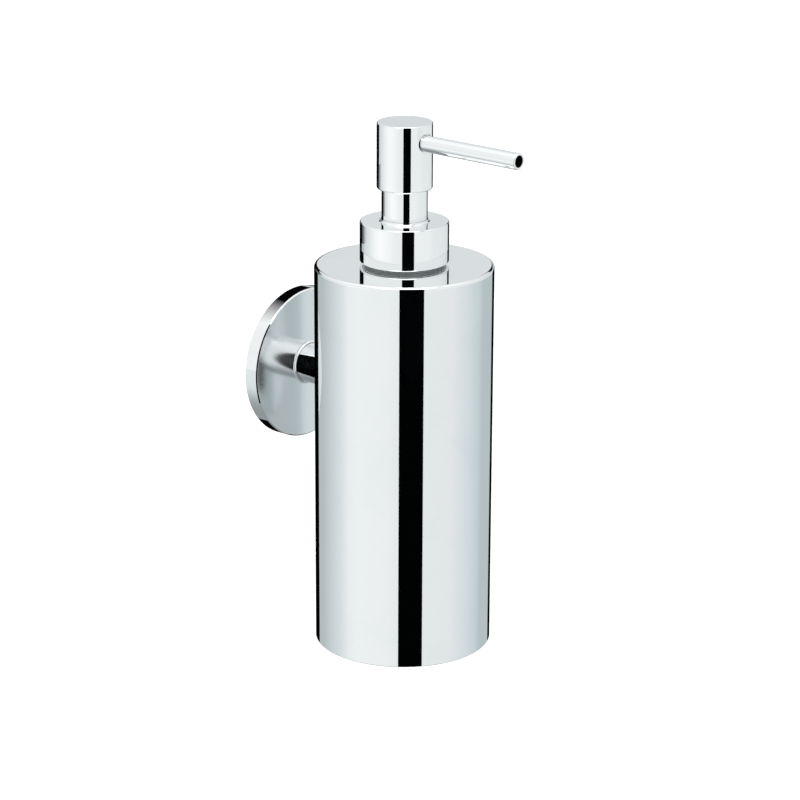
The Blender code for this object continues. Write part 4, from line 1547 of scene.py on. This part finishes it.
def make_barrel():
    flange_low = FLANGE_TOP - 1.0 * MM
    seat_z = STEP_Z - 6.7 * MM
    chamber_r = 2.7 * MM
    lip_z = seat_z + 4.0 * MM
    lip_r = 1.75 * MM
    inlet_r = 1.5 * MM
    socket_top = TUBE_TOP + CLEAR
    socket_r, outer_r = TUBE_R + CLEAR, 3.6 * MM
    corners = [
        (BARREL_BORE_R, FLANGE_TOP, 0.15 * MM),
        (FLANGE_R, FLANGE_TOP, 0.2 * MM),
        (FLANGE_R, flange_low, 0.1 * MM),
        (BARREL_R, flange_low, 0.25 * MM),
        (BARREL_R, STEP_Z - 1.0 * MM, 0.5 * MM),
        (outer_r, STEP_Z - 2.6 * MM, 0.4 * MM),
        (outer_r, SOCKET_END, 0.3 * MM),
        (socket_r, SOCKET_END, 0.2 * MM),
        (socket_r, socket_top, 0),
        (inlet_r, socket_top, 0),
        (inlet_r, seat_z, 0.05 * MM),
        (chamber_r, seat_z + 1.2 * MM, 0.2 * MM),
        (chamber_r, lip_z, 0),
        (lip_r, lip_z, 0.1 * MM),
        (lip_r, lip_z + 0.6 * MM, 0.1 * MM),
        (chamber_r, STEP_Z - 1.4 * MM, 0.1 * MM),
        (chamber_r, STEP_Z, 0.15 * MM),
        (BARREL_BORE_R, STEP_Z, 0.2 * MM),
    ]
    barrel = turned("pump_barrel", corners, pump_plastic, steps=96, arc_steps=4)
    finish_piece(barrel, "pump_unit", "pump_cylinder")


def make_ball():
    shape = bmesh.new()
    bmesh.ops.create_uvsphere(shape, u_segments=48, v_segments=32, radius=BALL_R)
    mesh = write_out("glass_ball", shape)
    mesh.transform(ON_AXIS @ Matrix.Translation((0, 0, (BALL_LOW + BALL_HIGH) / 2)))
    mesh.materials.append(ball_glass)
    mesh.shade_smooth()
    finish_piece(new_object("glass_ball", mesh), "inlet_valve", "valve_ball")


def make_tube():
    """The tube is made too long, and its lower end is cut off on a slant."""
    end = TUBE_END - 6 * MM
    corners = [
        (TUBE_R, TUBE_TOP, 0.1 * MM),
        (TUBE_R, end, 0),
        (TUBE_BORE_R, end, 0),
        (TUBE_BORE_R, TUBE_TOP, 0.1 * MM),
    ]
    tube = turned("suction_tube", corners, bottle_plastic, steps=64)
    slant = math.radians(35)
    waste = box_between((-9 * MM, -9 * MM, -16 * MM), (9 * MM, 9 * MM, 0))
    cut_z = TUBE_END + TUBE_R * math.tan(slant)
    waste.data.transform(Matrix.Translation((0, -AXIS_OUT, cut_z)) @ Matrix.Rotation(slant, 4, "Y"))
    carve(tube, waste)
    finish_piece(tube, "pump_unit", "dip_tube")


make_barrel()
make_ball()
make_tube()

# %% [markdown]
# The bush keeps the piston in the barrel. The piston has a thin lip at each end, and the stem
# carries it: a tube with a foot for the spring, a plain end that the head's core is pressed on, and
# two side ports above the piston's seat, where the soap enters.

# %% Bush, piston and stem
def make_bush():
    rim_r, low, high = upright("locking_bush")
    bore_r = STEM_R + CLEAR
    neck_r, plug_r = 4.1 * MM, BARREL_BORE_R - CLEAR
    rim = FLANGE_TOP + CLEAR
    rim_top = rim + 1.0 * MM
    corners = [
        (bore_r, high, 0.15 * MM),
        (neck_r, high, 0.4 * MM),
        (neck_r, rim_top, 0.2 * MM),
        (rim_r, rim_top, 0.3 * MM),
        (rim_r, rim, 0.1 * MM),
        (plug_r, rim, 0.1 * MM),
        (plug_r, low, 0.3 * MM),
        (bore_r, low, 0.15 * MM),
    ]
    bush = turned("guide_bush", corners, pump_plastic, steps=96)
    finish_piece(bush, "pump_unit", "locking_bush")


def make_piston():
    lip_r, low, high = upright("piston_seal")
    waist_r = lip_r - 0.8 * MM
    bore_r = STEM_R + CLEAR
    corners = [
        (bore_r, high, 0.1 * MM),
        (waist_r, high, 0.1 * MM),
        (lip_r, high - 0.4 * MM, 0.1 * MM),
        (waist_r, high - 2.0 * MM, 0.4 * MM),
        (waist_r, low + 2.0 * MM, 0.4 * MM),
        (lip_r, low + 0.4 * MM, 0.1 * MM),
        (waist_r, low, 0.1 * MM),
        (bore_r, low, 0.1 * MM),
    ]
    piston = turned("piston", corners, bottle_plastic, steps=96)
    finish_piece(piston, "plunger", "piston_seal")


def make_stem():
    foot_r, low, high = upright("piston_stem")
    foot_z = low + 1.8 * MM
    foot_top = foot_z + 1.4 * MM
    corners = [
        (STEM_BORE_R, high, 0.15 * MM),
        (STEM_R, high, 0.4 * MM),
        (STEM_R, foot_top, 0.05 * MM),
        (foot_r, foot_top, 0.15 * MM),
        (foot_r, foot_z, 0.15 * MM),
        (STEM_R, foot_z, 0.2 * MM),
        (STEM_R, low, 0.3 * MM),
        (STEM_BORE_R, low, 0.15 * MM),
    ]
    stem = turned("stem", corners, pump_plastic, steps=96)
    port_z = foot_top + 8.6 * MM
    port = bar(0.8 * MM, (-5 * MM, -AXIS_OUT, port_z), (5 * MM, -AXIS_OUT, port_z), sides=32)
    carve(stem, port)
    finish_piece(stem, "plunger", "piston_stem")


make_bush()
make_piston()
make_stem()

# %% [markdown]
# The return spring stands on the barrel's step and pushes the stem's foot up. It rides on the
# barrel.


def make_spring():
    coil_r, low, high = upright("return_spring")
    wire_r = 0.4 * MM
    place = ON_AXIS @ Matrix.Translation((0, 0, low + wire_r))
    height = high - low - 2 * wire_r
    sizes = {"Radius": coil_r - wire_r, "Height": height, "Turns": 7.0, "Closed_Ends": 0.12}
    spring = wound("coil_spring", round_section(wire_r), steel, place, **sizes)
    finish_piece(spring, "pump_unit", "return_spring")
    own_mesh(spring)


make_spring()

# %% [markdown]
# ## The head's core
#
# A moulded core fills the chromed head. It is pressed on the stem, carries the soap up a short
# riser and across into the spout.

# %% Head core
def make_core():
    disc_r, low, high = upright("head_core")
    skirt_r = 4.7 * MM
    bore_r = STEM_R + CLEAR
    under = high - 7.1 * MM
    bore_end = high - 7.8 * MM
    corners = [
        (0, high, 0),
        (disc_r, high, 0.3 * MM),
        (disc_r, under, 0.2 * MM),
        (skirt_r, under, 0.4 * MM),
        (skirt_r, low, 0.3 * MM),
        (bore_r, low, 0.2 * MM),
        (bore_r, bore_end, 0),
        (STEM_BORE_R, bore_end, 0),
        (STEM_BORE_R, SPOUT_Z, 0),
        (0, SPOUT_Z, 0),
    ]
    core = turned("head_insert", corners, pump_plastic, steps=96, ring=False)
    socket = level_bar(SPOUT_R + CLEAR, SPOUT_Z, AXIS_OUT + 2.6 * MM, AXIS_OUT + 12 * MM, 64)
    crossing = level_bar(SPOUT_BORE_R, SPOUT_Z, AXIS_OUT, AXIS_OUT + 4 * MM, 64)
    carve(core, socket, crossing)
    finish_piece(core, "head", "head_core")


make_core()
